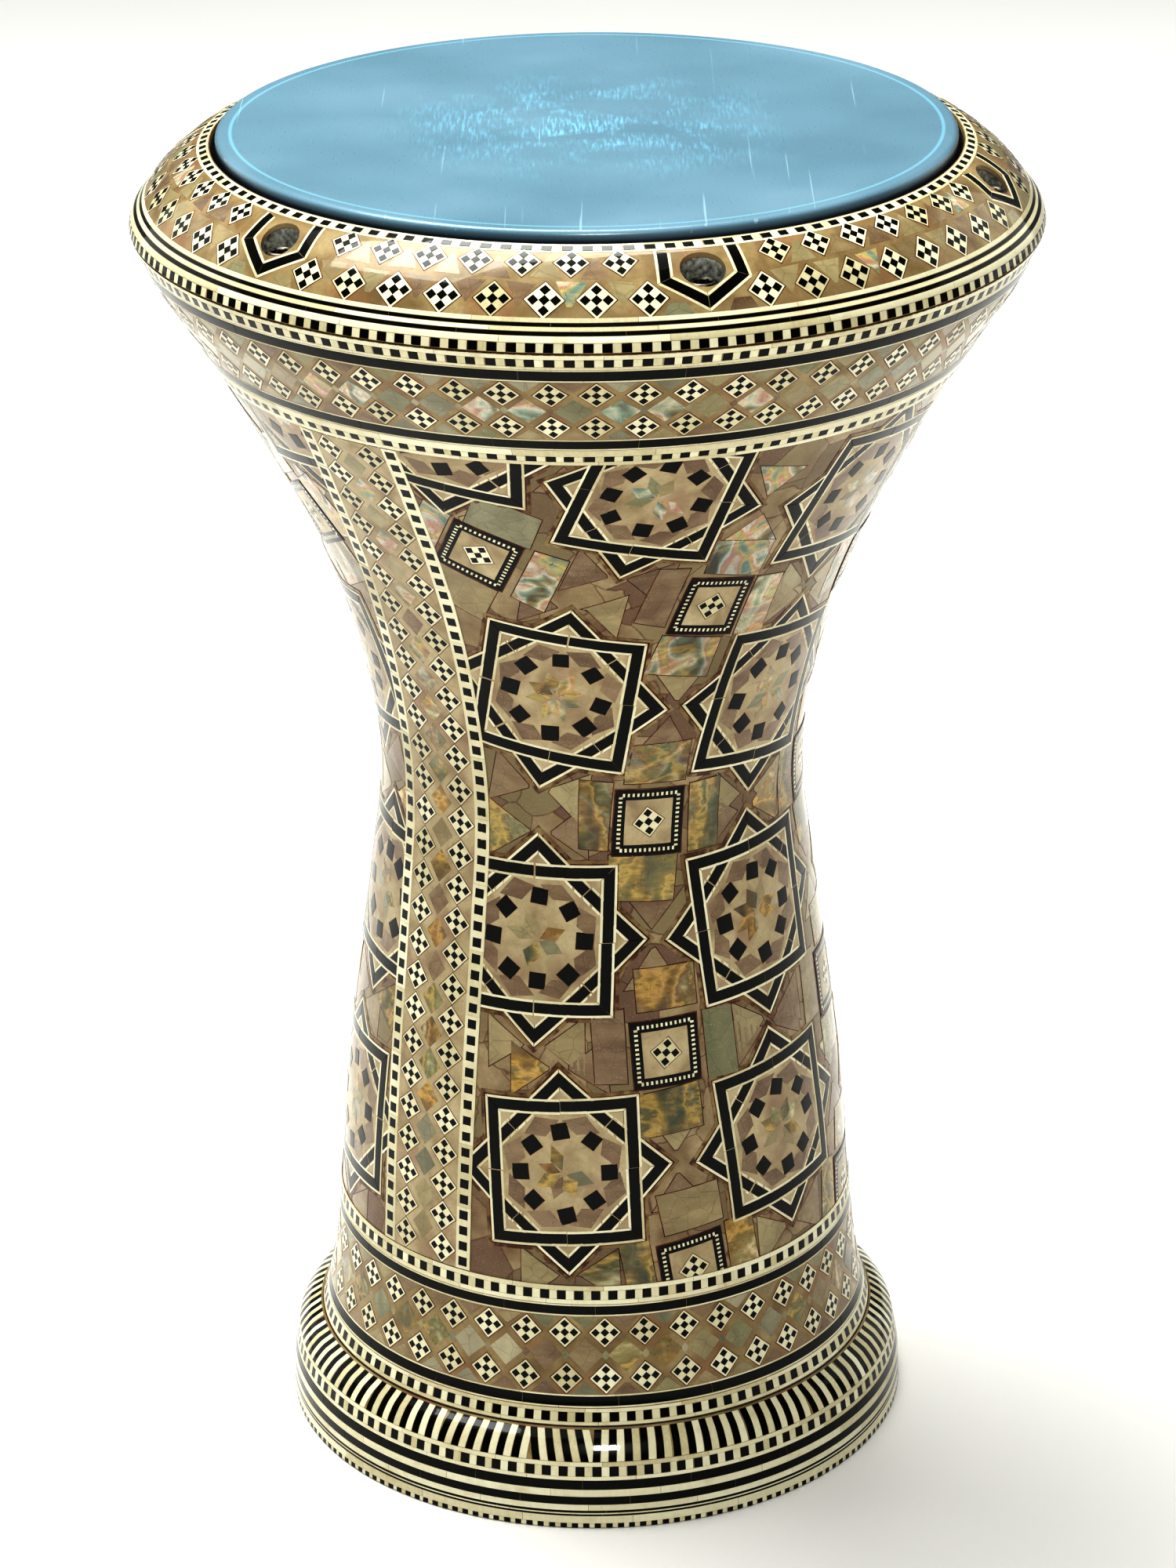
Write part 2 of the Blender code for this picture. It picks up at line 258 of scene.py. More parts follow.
def cut_holes(mesh, centres, outline, flatness=1.0, segments=48):
    """The mesh with the same turned hole, flattened towards the drum's axis, taken out at each centre."""
    shape = bmesh.new()
    for centre in centres:
        hole = turned("hole", outline, segments)
        heading = math.atan2(centre[1], centre[0])
        flat = Matrix.Diagonal((flatness, 1, 1, 1))
        spot = Matrix.Translation((centre[0] * MM, centre[1] * MM, 0))
        hole.transform(spot @ Matrix.Rotation(heading, 4, "Z") @ flat)
        shape.from_mesh(hole)
        bpy.data.meshes.remove(hole)
    tool = bpy.data.meshes.new("holes")
    shape.to_mesh(tool)
    shape.free()
    work, cutter = bpy.data.objects.new("work", mesh), bpy.data.objects.new("cutter", tool)
    for item in (work, cutter):
        bpy.context.scene.collection.objects.link(item)
    cut = work.modifiers.new("cut", "BOOLEAN")
    cut.solver = "EXACT"
    cut.object = cutter
    graph = bpy.context.evaluated_depsgraph_get()
    done = bpy.data.meshes.new_from_object(work.evaluated_get(graph))
    if len(done.polygons) == len(mesh.polygons):
        raise RuntimeError(f"the holes missed {mesh.name}")
    done.name = mesh.name + "_cut"
    for item in (work, cutter):
        bpy.data.objects.remove(item)
    done.set_sharp_from_angle(angle=math.radians(30))
    return done


class Tiles:
    """Flat pieces laid on a skin, gathered so that all the tiles of one material make one mesh.

    A tile is a four-cornered outline, in millimetres across and along the surface from its own centre,
    corners anticlockwise. Its top is a grid of points mixed evenly between the corners (bilinear), bent
    onto the skin: angle = centre angle + across / radius. A narrow bevel runs round the top, then straight
    sides, then a closed underside.
    """

    BEVEL = 0.06

    def __init__(self, skin):
        self.skin = skin
        self.parts = []
        self.count = 0

    def add(self, angle, s, corners, top, tone, split=(1, 1), depth=0.45, follow=1.0):
        """Adds tiles, one for each row of corners, split into so many steps across and along."""
        corners = np.asarray(corners, float).reshape(-1, 4, 2)
        count = len(corners)
        if not count:
            return
        angle = np.broadcast_to(np.asarray(angle, float), count)[:, None]
        s = np.broadcast_to(np.asarray(s, float), count)[:, None]
        tone = np.broadcast_to(np.asarray(tone, float), count)
        across, along = split
        u, v = np.meshgrid(np.linspace(0, 1, across + 1), np.linspace(0, 1, along + 1))
        u, v = u.ravel(), v.ravel()
        weights = np.stack([(1 - u) * (1 - v), u * (1 - v), u * v, (1 - u) * v])
        outer = np.einsum("nck,cg->ngk", corners, weights)
        inner = np.einsum("nck,cg->ngk", self.inset(corners, self.BEVEL), weights)
        loop = self.edge_loop(across, along)
        level = np.broadcast_to(np.asarray(top, float), count)[:, None]
        top_xyz, top_n, _ = self.bend(angle, s, inner, level, follow)
        mid_xyz, mid_n, side = self.bend(
            angle, s, outer[:, loop], level - self.BEVEL, follow, outer[:, loop] - inner[:, loop]
        )
        low_xyz, low_n, _ = self.bend(angle, s, outer, level - depth, follow)
        mid_n = mid_n + side
        mid_n /= np.linalg.norm(mid_n, axis=-1, keepdims=True)
        verts = np.concatenate([top_xyz, mid_xyz, low_xyz], 1)
        normals = np.concatenate([top_n, mid_n, -low_n], 1)
        faces = self.faces(across, along, loop)
        per = verts.shape[1]
        faces = faces[None] + (np.arange(count) * per)[:, None, None] + self.count
        self.count += count * per
        tones = np.repeat(tone, per)
        self.parts.append((verts.reshape(-1, 3), normals.reshape(-1, 3), faces.reshape(-1, 4), tones))

    def bend(self, angle, s, flat, height, follow, outward=None):
        """Bends flat tile points onto the skin, with the normals there and an outward side direction."""
        along = s + flat[..., 1]
        radius = self.skin.radius(s + follow * flat[..., 1])
        turned_angle = angle + flat[..., 0] / radius
        xyz = self.skin.place(turned_angle, along, height)
        x_axis, y_axis, out = self.skin.axes(turned_angle, along)
        if outward is None:
            return xyz, out, None
        size = np.linalg.norm(outward, axis=-1, keepdims=True).clip(1e-9)
        unit = outward / size
        return xyz, out, x_axis * unit[..., :1] + y_axis * unit[..., 1:]

    @staticmethod
    def inset(corners, depth):
        """Each corner moved inwards so that every side moves by the depth (mitred offset)."""
        edge = np.roll(corners, -1, 1) - corners
        edge = edge / np.linalg.norm(edge, axis=-1, keepdims=True).clip(1e-9)
        inward = np.stack([-edge[..., 1], edge[..., 0]], -1)
        before = np.roll(inward, 1, 1)
        spread = 1 + (before * inward).sum(-1, keepdims=True)
        return corners + depth * (before + inward) / spread.clip(0.15)

    @staticmethod
    def edge_loop(across, along):
        """Grid numbers round the edge of a tile, anticlockwise from its first corner."""
        wide = across + 1
        bottom = np.arange(0, across)
        right = across + wide * np.arange(0, along)
        top = wide * along + np.arange(across, 0, -1)
        left = wide * np.arange(along, 0, -1)
        return np.concatenate([bottom, right, top, left])

    @staticmethod
    def faces(across, along, loop):
        wide, grid = across + 1, (across + 1) * (along + 1)
        i, j = np.meshgrid(np.arange(across), np.arange(along))
        first = (i + j * wide).ravel()
        top = np.stack([first, first + 1, first + 1 + wide, first + wide], -1)
        mid = grid + np.arange(len(loop))
        low = grid + len(loop) + loop
        bevel = np.stack([mid, np.roll(mid, -1), np.roll(loop, -1), loop], -1)
        side = np.stack([low, np.roll(low, -1), np.roll(mid, -1), mid], -1)
        under = top[:, ::-1] + grid + len(loop)
        return np.concatenate([top, bevel, side, under])

    def mesh(self, name):
        verts, normals, faces, tones = (np.concatenate(part) for part in zip(*self.parts))
        return make_mesh(name, verts, faces, normals, tones)


# ---------------------------------------------------------------- tile outlines


def rectangle(width, height, x=0.0, y=0.0):
    """Corners of an upright rectangle round a middle, anticlockwise from its lower left."""
    w, h = width / 2, height / 2
    return np.array([(x - w, y - h), (x + w, y - h), (x + w, y + h), (x - w, y + h)])


def turn(corners, angle):
    """Corners turned about the tile's centre, anticlockwise."""
    cos, sin = math.cos(angle), math.sin(angle)
    return np.asarray(corners) @ np.array([[cos, sin], [-sin, cos]])


class Inlayer:
    """Lays the patterns of one zone. It keeps one set of tiles for each material.

    TOP says how far the tops of each material lie under the lacquered skin: fills lowest, black highest.
    """

    TOP = {
        "resin": -0.14,
        "stain": -0.145,
        "cream": -0.12,
        "pearl": -0.09,
        "abalone": -0.08,
        "bone": -0.05,
        "black": -0.03,
    }
    SEAM = 0.07
    BLACK_SHARE = 0.52
    DIE_SPOTS = ((-1, -1), (1, -1), (0, 0), (1, 1), (-1, 1))

    def __init__(self, skin, seed):
        self.skin = skin
        self.rng = np.random.default_rng(seed)
        self.drop = 0.0
        self.sets = {name: Tiles(skin) for name in self.TOP}

    def lay(self, kind, angle, s, corners, split=(1, 1), raise_by=0.0, follow=1.0, tone=None):
        """Lays tiles of one material. Each gets its own tone, at random where none is given."""
        corners = np.asarray(corners, float).reshape(-1, 4, 2)
        tone = self.rng.uniform(0, 1, len(corners)) if tone is None else tone
        top = self.TOP[kind] + raise_by + self.drop
        self.sets[kind].add(angle, s, corners, top, tone, split, follow=follow)

    def line(self, kind, low, high, pieces=18, splice=0.12, raise_by=0.0):
        """A thin band round the drum, made of spliced strips."""
        middle = (low + high) / 2
        arc = 2 * np.pi * float(self.skin.radius(middle)) / pieces
        start = self.rng.uniform(0, 2 * np.pi)
        angles = start + np.arange(pieces) * 2 * np.pi / pieces
        strip = np.repeat(rectangle(arc - splice, high - low)[None], pieces, 0)
        rows = max(1, int(np.ceil((high - low) / 2.5)))
        segments = int(np.ceil(240 / pieces))
        self.lay(kind, angles, middle, strip, (segments, rows), raise_by, follow=0.0)

    def edged_line(self, low, high, border=0.5):
        """A black line between two bone borders."""
        self.line("bone", low, low + border)
        self.line("black", low + border + self.SEAM, high - border - self.SEAM)
        self.line("bone", high - border, high)

    def checker(self, low, high, pitch, borders=(0.0, 0.0)):
        """A row of black squares and bone squares by turns, with a bone border below and above it."""
        for start, end in ((low, low + borders[0] - self.SEAM), (high - borders[1] + self.SEAM, high)):
            if end > start + 0.1:
                self.line("bone", start, end)
        low, high = low + borders[0], high - borders[1]
        middle, height = (low + high) / 2, high - low
        around = 2 * np.pi * float(self.skin.radius(middle))
        count = int(round(around / pitch))
        pitch = around / count
        black = pitch * self.BLACK_SHARE
        angles = np.arange(count) * 2 * np.pi / count + self.rng.normal(0, 0.0012, count)
        width = black + self.rng.normal(0, 0.06, count)
        unit = rectangle(1, 1)
        squares = unit[None] * np.stack([width, np.full(count, height * 0.96)], -1)[:, None, :]
        squares = squares + self.rng.normal(0, 0.035, (count, 4, 2))
        self.lay("black", angles, middle, squares, (2, 1))
        bones = np.repeat(rectangle(pitch - black - 2 * self.SEAM, height)[None], count, 0)
        self.lay("bone", angles + np.pi / count, middle, bones, (2, 1))

    def diamonds(self, angles, s, side, spin=math.pi / 4):
        """Bone squares standing on a corner, each with five small black squares like a die's five."""
        angles = np.atleast_1d(angles).astype(float)
        s = np.broadcast_to(np.asarray(s, float), angles.shape)
        count = len(angles)
        lean = spin + self.rng.normal(0, 0.035, count)
        size = side * (1 + self.rng.normal(0, 0.012, count))
        base = np.stack([turn(rectangle(w, w), a) for w, a in zip(size, lean)])
        shadow = np.stack([turn(rectangle(w + 0.45, w + 0.45), a) for w, a in zip(size, lean)])
        self.lay("resin", angles, s, shadow, (2, 2), 0.05)
        self.lay("bone", angles, s, base, (2, 2), raise_by=-0.01)
        cell = side * 0.285
        for x, y in self.DIE_SPOTS:
            spots = [turn(rectangle(cell * 0.98, cell * 0.98, x * cell, y * cell), a) for a in lean]
            self.lay("black", angles, s, np.stack(spots))

    def lozenges(self, angles, s, wide, high, kind_share=0.45):
        """Pearl and abalone pieces standing on a corner."""
        angles = np.atleast_1d(angles).astype(float)
        s = np.broadcast_to(np.asarray(s, float), angles.shape)
        shape = np.array([(-wide / 2, 0), (0, -high / 2), (wide / 2, 0), (0, high / 2)])
        count = len(angles)
        shapes = shape[None] * (1 + self.rng.normal(0, 0.03, (count, 4, 1)))
        tones = self.rng.uniform(0, 1, count)
        rich = self.rng.uniform(0, 1, count) < kind_share
        for kind, chosen in (("abalone", rich), ("pearl", ~rich)):
            self.lay(kind, angles[chosen], s[chosen], shapes[chosen], (3, 3), tone=tones[chosen])

    # -- the field's figures

    def strap(self, start, end, width, angle, s, raise_by=0.0, mitre=(1.0, 1.0), splice=True):
        """A straight strap from start to end, whose left side is its outer one: border, black, border.

        The two numbers of the mitre say how far each end is cut back on the inner side, per millimetre.
        """
        start, end = np.array(start, float), np.array(end, float)
        length = np.linalg.norm(end - start)
        ahead = (end - start) / length
        inward = np.array([-ahead[1], ahead[0]])
        border, seam, gap = 0.82, 0.06, 0.1
        layers = (
            ("bone", 0.0, border),
            ("black", border + seam, width - border - seam),
            ("bone", width - border, width),
        )
        break_at = length / 2 + self.rng.normal(0, 0.6)
        slack = abs(self.rng.normal(0, 0.22)) + 0.08
        cuts = [
            (gap, break_at - slack / 2, self.rng.normal(0, 0.09)),
            (break_at + slack / 2, length - gap, self.rng.normal(0, 0.09)),
        ]
        spans = cuts if splice else [(gap, length - gap, 0.0)]
        for kind, near, far in layers:
            for low, high, slip in spans:
                sides = (near + slip, far + slip)
                starts = [low + side * mitre[0] if low == gap else low for side in sides]
                ends = [high - side * mitre[1] if high == length - gap else high for side in sides]
                ring = ((starts[0], sides[0]), (ends[0], sides[0]), (ends[1], sides[1]), (starts[1], sides[1]))
                quad = np.array([start + ahead * along + inward * across for along, across in ring])
                steps = max(2, int(math.ceil((high - low) / 3.2)))
                rows = 2 if kind == "black" else 1
                self.lay(kind, angle, s, quad, (steps, rows), raise_by)

    def strap_square(self, side, width, spin, angle, s, raise_by):
        """Four mitred straps round a square, over wider beds of brown resin and stained filler."""
        corners = turn(rectangle(side, side), spin)
        beds = []
        for kind, out, into, level in (("resin", 0.42, 0.22, 0.0), ("stain", 1.5, 1.3, -0.004)):
            wide, narrow = side + 2 * out, side - 2 * (width + into)
            outside, inside = turn(rectangle(wide, wide), spin), turn(rectangle(narrow, narrow), spin)
            beds.append((kind, outside, inside, level))
        for i in range(4):
            j = (i + 1) % 4
            self.strap(corners[i], corners[j], width, angle, s, raise_by)
            for kind, outside, inside, level in beds:
                bed = np.array([outside[i], outside[j], inside[j], inside[i]])
                self.lay(kind, angle, s, bed, (16, 2), raise_by * 0.5 + level)

    def star(self, angle, s, spin, side=48.8, width=5.0):
        """Two interlaced squares, eight black squares, a rosette of petals and mauve corner pieces."""
        bed = side - 2 * width
        for extra, level in ((0, 0.0), (math.pi / 4, -0.008)):
            corners = turn(rectangle(bed, bed), spin + extra)
            self.lay("cream", angle, s, corners, (14, 14), level + 0.015)
        self.strap_square(side, width, spin + math.pi / 4, angle, s, -0.055)
        self.strap_square(side, width, spin, angle, s, 0.0)
        rng = self.rng
        for k in range(8):
            direction = spin + k * math.pi / 4 + rng.normal(0, 0.05)
            centre = 13.9 + rng.normal(0, 0.35)
            size = 5.0 + rng.normal(0, 0.15)
            square = turn(turn(rectangle(size, size), rng.normal(0, 0.16)) + (centre, 0), direction)
            self.lay("resin", angle, s, self.grown(square, 0.22), (2, 2), 0.05)
            self.lay("black", angle, s, square, (2, 2))
            if rng.uniform() < 0.86:
                self.petal(angle, s, direction + math.pi / 8 + rng.normal(0, 0.06))
            between = spin + (k + 0.5) * math.pi / 4
            corner = np.array([(13.4, 0), (16.4, -6.2), (20.2, 0.0), (16.4, 6.2)])
            corner = corner + rng.normal(0, 0.35, (4, 2))
            self.lay("pearl", angle, s, turn(corner, between), (3, 3), 0.01, tone=[rng.uniform(0.0, 0.26)])

    def petal(self, angle, s, direction):
        """A pointed piece of shell that reaches from the middle of a star."""
        rng = self.rng
        reach, wide = 9.8 + rng.normal(0, 0.6), 2.5 + rng.normal(0, 0.25)
        shape = np.array([(0.9, 0), (reach * 0.52, -wide), (reach, 0), (reach * 0.5, wide)])
        kind = "abalone" if rng.uniform() < 0.7 else "pearl"
        self.lay(kind, angle, s, turn(shape, direction), (3, 3), 0.015)

    @staticmethod
    def grown(corners, by):
        """An outline moved outwards on every side."""
        return Tiles.inset(np.asarray(corners)[None], -by)[0]

    def small_frame(self, angle, s, spin, side=21.6, strip=3.3):
        """A black square frame with a row of white dashes, round a checkered diamond."""
        half = side / 2
        self.lay("resin", angle, s, turn(rectangle(side + 0.8, side + 0.8), spin), (8, 8), 0.02)
        inner = side - 2 * strip
        self.lay("cream", angle, s, turn(rectangle(inner, inner), spin), (6, 6), 0.02)
        pitch, dash = 1.5, (0.8, 1.25)
        count = int((side - strip) / pitch)
        for i in range(4):
            quarter = spin + i * math.pi / 2
            bar = np.array(
                [
                    (-half + 0.06, -half),
                    (half - 0.06, -half),
                    (half - strip - 0.06, -half + strip),
                    (-half + strip + 0.06, -half + strip),
                ]
            )
            self.lay("black", angle, s, turn(bar, quarter), (8, 1))
            places = (np.arange(count) - (count - 1) / 2) * pitch
            dashes = [turn(rectangle(*dash, x, -half + strip / 2), quarter) for x in places]
            self.lay("bone", angle, s, np.stack(dashes), raise_by=0.04)
        self.diamonds([angle], [s], 7.3, spin + math.pi / 4 + self.rng.normal(0, 0.12))

    def shell_piece(self, angle, s, corners, rich=0.75, level=-0.05, tone=None, split=(6, 6)):
        """A large flat piece of abalone or pearl in a thin seam of brown resin."""
        kind = "abalone" if self.rng.uniform() < rich else "pearl"
        self.lay("resin", angle, s, self.grown(corners, 0.3), split, level)
        self.lay(kind, angle, s, corners, split, level, tone=tone)

    def finish(self, zone, body, replaced):
        """Makes the zone's pieces, one for each material that it uses."""
        for kind, tiles in self.sets.items():
            if tiles.parts:
                name = f"{zone}_{kind}_tiles"
                add_piece(name, tiles.mesh(name), LOOKS[kind](), body, replaced)


# ---------------------------------------------------------------- materials


def colour(red, green, blue):
    """An sRGB colour, given as on a screen from 0 to 255, in the linear values that a shader takes."""
    linear = [((c / 255 + 0.055) / 1.055) ** 2.4 if c > 10 else c / 3294.6 for c in (red, green, blue)]
    return (*linear, 1.0)


def settings():
    """The values shown in the sidebar."""
    return bpy.context.scene.darbuka


class Look:
    """A node material. Each method adds a node and returns its output, ready to feed the next one."""

    def __init__(self, name, **sockets):
        self.material = bpy.data.materials.new(name)
        self.material.use_nodes = True
        self.tree = self.material.node_tree
        self.shader = self.tree.nodes["Principled BSDF"]
        for socket, value in sockets.items():
            self.shader.inputs[socket.replace("_", " ")].default_value = value
        self.place = self.node("TexCoord").outputs["Object"]

    def node(self, kind, values=None, **settings):
        """A new node. A value that is another node's output is linked, and any other is set."""
        node = self.tree.nodes.new("ShaderNode" + kind)
        for key, value in settings.items():
            setattr(node, key, value)
        for key, value in (values or {}).items():
            socket = node.inputs[key]
            if isinstance(value, bpy.types.NodeSocket):
                self.tree.links.new(value, socket)
            else:
                socket.default_value = value
        return node

    def tone(self):
        """The random number that each tile carries."""
        return self.node("Attribute", attribute_name="tone").outputs["Fac"]

    def spread(self, amount=(1, 1, 1), turn_by=(0, 0, 0)):
        """The place turned, then scaled along each axis: under one stretches a pattern that way."""
        values = {"Vector": self.place, "Scale": amount, "Rotation": turn_by}
        return self.node("Mapping", values).outputs["Vector"]

    def noise(self, size, detail=3.0, vector=None, distortion=0.0):
        """Noise whose features are about so many millimetres wide."""
        values = {"Vector": vector or self.place, "Scale": 1 / (size * MM), "Detail": detail}
        values["Distortion"] = distortion
        return self.node("TexNoise", values).outputs["Fac"]

    def cells(self, size, output="Distance", feature="F1", vector=None):
        """Irregular cells about so many millimetres wide."""
        values = {"Vector": vector or self.place, "Scale": 1 / (size * MM)}
        return self.node("TexVoronoi", values, feature=feature).outputs[output]

    def ramp(self, value, *stops):
        """Colours along a ramp; each stop is (position, colour)."""
        node = self.node("ValToRGB", {"Fac": value})
        elements = node.color_ramp.elements
        while len(elements) < len(stops):
            elements.new(0.5)
        for element, (position, shade) in zip(elements, stops):
            element.position, element.color = position, shade
        return node.outputs["Color"]

    def maths(self, operation, first, second=0.5):
        return self.node("Math", {0: first, 1: second}, operation=operation).outputs["Value"]

    def remap(self, value, low, high, to_low=0.0, to_high=1.0):
        """A value carried in a straight line from one range to another, and held at its ends."""
        values = {"Value": value, "From Min": low, "From Max": high, "To Min": to_low, "To Max": to_high}
        return self.node("MapRange", values).outputs["Result"]

    def mix(self, share, first, second):
        """The first colour with a share of the second laid over it."""
        node = self.node("Mix", data_type="RGBA")
        for index, value in ((0, share), (6, first), (7, second)):
            if isinstance(value, bpy.types.NodeSocket):
                self.tree.links.new(value, node.inputs[index])
            else:
                node.inputs[index].default_value = value
        return node.outputs[2]

    def shifted(self, vector, by):
        """The place moved along by a value, so that every tile is cut from another spot of its sheet."""
        offset = self.node("CombineXYZ", {"X": by, "Y": by, "Z": by}).outputs["Vector"]
        return self.node("VectorMath", {0: vector, 1: offset}, operation="ADD").outputs["Vector"]

    def bump(self, height, distance):
        values = {"Height": height, "Distance": distance * MM, "Strength": 1.0}
        return self.node("Bump", values).outputs["Normal"]

    def put(self, **links):
        """Links outputs to the shader's sockets and returns the finished material."""
        for socket, value in links.items():
            self.tree.links.new(value, self.shader.inputs[socket.replace("_", " ")])
        return self.material

    def lacquer(self):
        """Slow waves and a fine mottle in the clear coat, as a brushed and polished lacquer has."""
        slow = self.maths("MULTIPLY", self.noise(26, 1.0), 2.6)
        waves = self.maths("ADD", slow, self.maths("MULTIPLY", self.noise(4.5, 2.0), 0.22))
        pits = self.remap(self.cells(6.5), 0.0, 0.05, -0.5, 0.0)
        self.put(Coat_Normal=self.bump(self.maths("ADD", waves, pits), 0.02))
        return self


COAT = {"Coat_Weight": 0.7, "Coat_Roughness": 0.03, "Coat_IOR": 1.38}


def once(maker):
    """Keeps the maker's material, so that all pieces of one kind share it."""
    made = {}

    def get():
        if "look" not in made:
            made["look"] = maker()
        return made["look"]

    return get


@once
def bone_look():
    """Ivory bone: fine upright fibres, a tone for each tile and patches of old grime."""
    look = Look("bone", Roughness=0.4, Specular_IOR_Level=0.12, **COAT).lacquer()
    fibre = look.noise(0.9, 4.0, look.spread((1, 1, 0.16)))
    tone = look.maths("MULTIPLY", look.tone(), 0.62)
    shade = look.maths("ADD", tone, look.maths("MULTIPLY", fibre, 0.38))
    base = look.ramp(
        shade,
        (0.10, colour(204, 195, 160)),
        (0.45, colour(226, 219, 190)),
        (0.90, colour(240, 236, 212)),
    )
    grime = look.remap(look.noise(9, 4.0), 0.56, 0.78, 0.0, 0.35)
    return look.put(Base_Color=look.mix(grime, base, colour(182, 158, 104)))


@once
def black_look():
    """Dyed horn: near black with a faint grain and a little pale dust."""
    look = Look("black_horn", Roughness=0.3, Specular_IOR_Level=0.1, **COAT).lacquer()
    grain = look.noise(1.4, 4.0, look.spread((1, 1, 0.2)))
    base = look.ramp(grain, (0.3, colour(5, 5, 4)), (0.75, colour(20, 18, 15)))
    dust = look.remap(look.noise(0.5, 3.0), 0.68, 0.8, 0.0, 0.06)
    return look.put(Base_Color=look.mix(dust, base, colour(120, 112, 92)))


@once
def resin_look():
    """Rust-brown glue in the seams."""
    look = Look("brown_resin", Roughness=0.35, Specular_IOR_Level=0.1, **COAT).lacquer()
    base = look.ramp(
        look.noise(5, 4.0),
        (0.32, colour(48, 14, 4)),
        (0.50, colour(86, 36, 12)),
        (0.70, colour(128, 84, 48)),
    )
    return look.put(Base_Color=base)


@once
def stain_look():
    """Filler next to the straps, where rust-red glue has bled into it unevenly."""
    look = Look("stained_filler", Roughness=0.4, Specular_IOR_Level=0.12, **COAT).lacquer()
    shades = colour(124, 98, 66), colour(150, 128, 92), colour(172, 152, 112), colour(112, 60, 28)
    base = cloudy(look, *shades, 0.5)
    bleed = look.remap(look.noise(3.6, 4.0), 0.46, 0.62, 0.0, 0.85)
    return look.put(Base_Color=look.mix(bleed, base, colour(74, 32, 14)))


def cloudy(look, dark, middle, light, stain, stain_share):
    """Filled resin: soft clouds, a fine mottle, dull red stains and a few pin-sized specks."""
    cloud = look.noise(11, 5.0, distortion=0.5)
    base = look.ramp(cloud, (0.30, dark), (0.50, middle), (0.70, light))
    mottle = look.remap(look.noise(1.1, 3.0), 0.35, 0.65, 0.0, 0.22)
    base = look.mix(mottle, base, dark)
    elsewhere = look.shifted(look.place, 0.31)
    stains = look.remap(look.noise(19, 3.0, elsewhere), 0.53, 0.68, 0.0, stain_share)
    base = look.mix(stains, base, stain)
    speck = look.remap(look.noise(0.7, 2.0), 0.68, 0.76, 0.0, 0.45)
    return look.mix(speck, base, colour(96, 66, 40))


@once
def cream_look():
    """Pale filler inside stars and frames."""
    look = Look("cream_resin", Roughness=0.4, Specular_IOR_Level=0.12, **COAT).lacquer()
    shades = (colour(160, 142, 112), colour(188, 172, 140), colour(206, 192, 160), colour(150, 116, 98))
    return look.put(Base_Color=cloudy(look, *shades, 0.5))


def nacre(look, tone, size, *stops):
    """Bands of shell colour: stretched noise picks along the ramp.

    The tile's tone slides the pattern, so tiles differ, and picks one of two ways for its grain to run.
    """
    slip = look.maths("MULTIPLY", tone, 0.9)
    upright = look.shifted(look.spread((0.8, 1, 0.35), (0.3, 0.5, 0.0)), slip)
    level = look.shifted(look.spread((0.35, 1, 0.9), (0.2, 0.4, 0.5)), slip)
    up = look.noise(size, 2.0, upright, 0.8)
    over = look.noise(size, 2.0, level, 0.8)
    bands = look.mix(look.remap(tone, 0.49, 0.51), over, up)
    fine = look.shifted(look.spread((0.3, 1, 1), (0.4, 0.5, 0.6)), tone)
    lines = look.noise(size * 0.16, 2.0, fine)
    wave = look.maths("ADD", look.maths("MULTIPLY", bands, 0.82), look.maths("MULTIPLY", lines, 0.18))
    return look.ramp(wave, *stops), lines


@once
def pearl_look():
    """Mother-of-pearl: soft bands, one tint for each tile, fine cracks and small bright painted glints."""
    look = Look("mother_of_pearl", Roughness=0.3, Specular_IOR_Level=0.3, **COAT).lacquer()
    tone = look.tone()
    bands, lines = nacre(
        look,
        tone,
        11.0,
        (0.34, colour(104, 90, 68)),
        (0.48, colour(140, 126, 98)),
        (0.62, colour(176, 162, 130)),
    )
    tint = look.ramp(
        tone,
        (0.0, colour(126, 98, 78)),
        (0.24, colour(146, 118, 94)),
        (0.36, colour(168, 150, 112)),
        (0.55, colour(180, 168, 130)),
        (0.72, colour(142, 146, 112)),
        (0.86, colour(136, 140, 120)),
        (1.0, colour(206, 198, 172)),
    )
    base = look.mix(0.6, bands, tint)
    cracks = look.remap(look.cells(6.5, feature="DISTANCE_TO_EDGE"), 0.0, 0.025, 0.28, 0.0)
    base = look.mix(cracks, base, colour(70, 46, 26))
    # Painted glints: small near-white spots along the fine lines, standing in for light catching the nacre.
    flakes = look.remap(look.cells(0.8), 0.0, 0.34, 0.35, 0.0)
    painted_glint = look.maths("MULTIPLY", flakes, look.remap(lines, 0.45, 0.6, 0.0, 1.0))
    base = look.mix(painted_glint, base, colour(220, 208, 184))
    return look.put(Base_Color=base, Normal=look.bump(lines, 0.05))


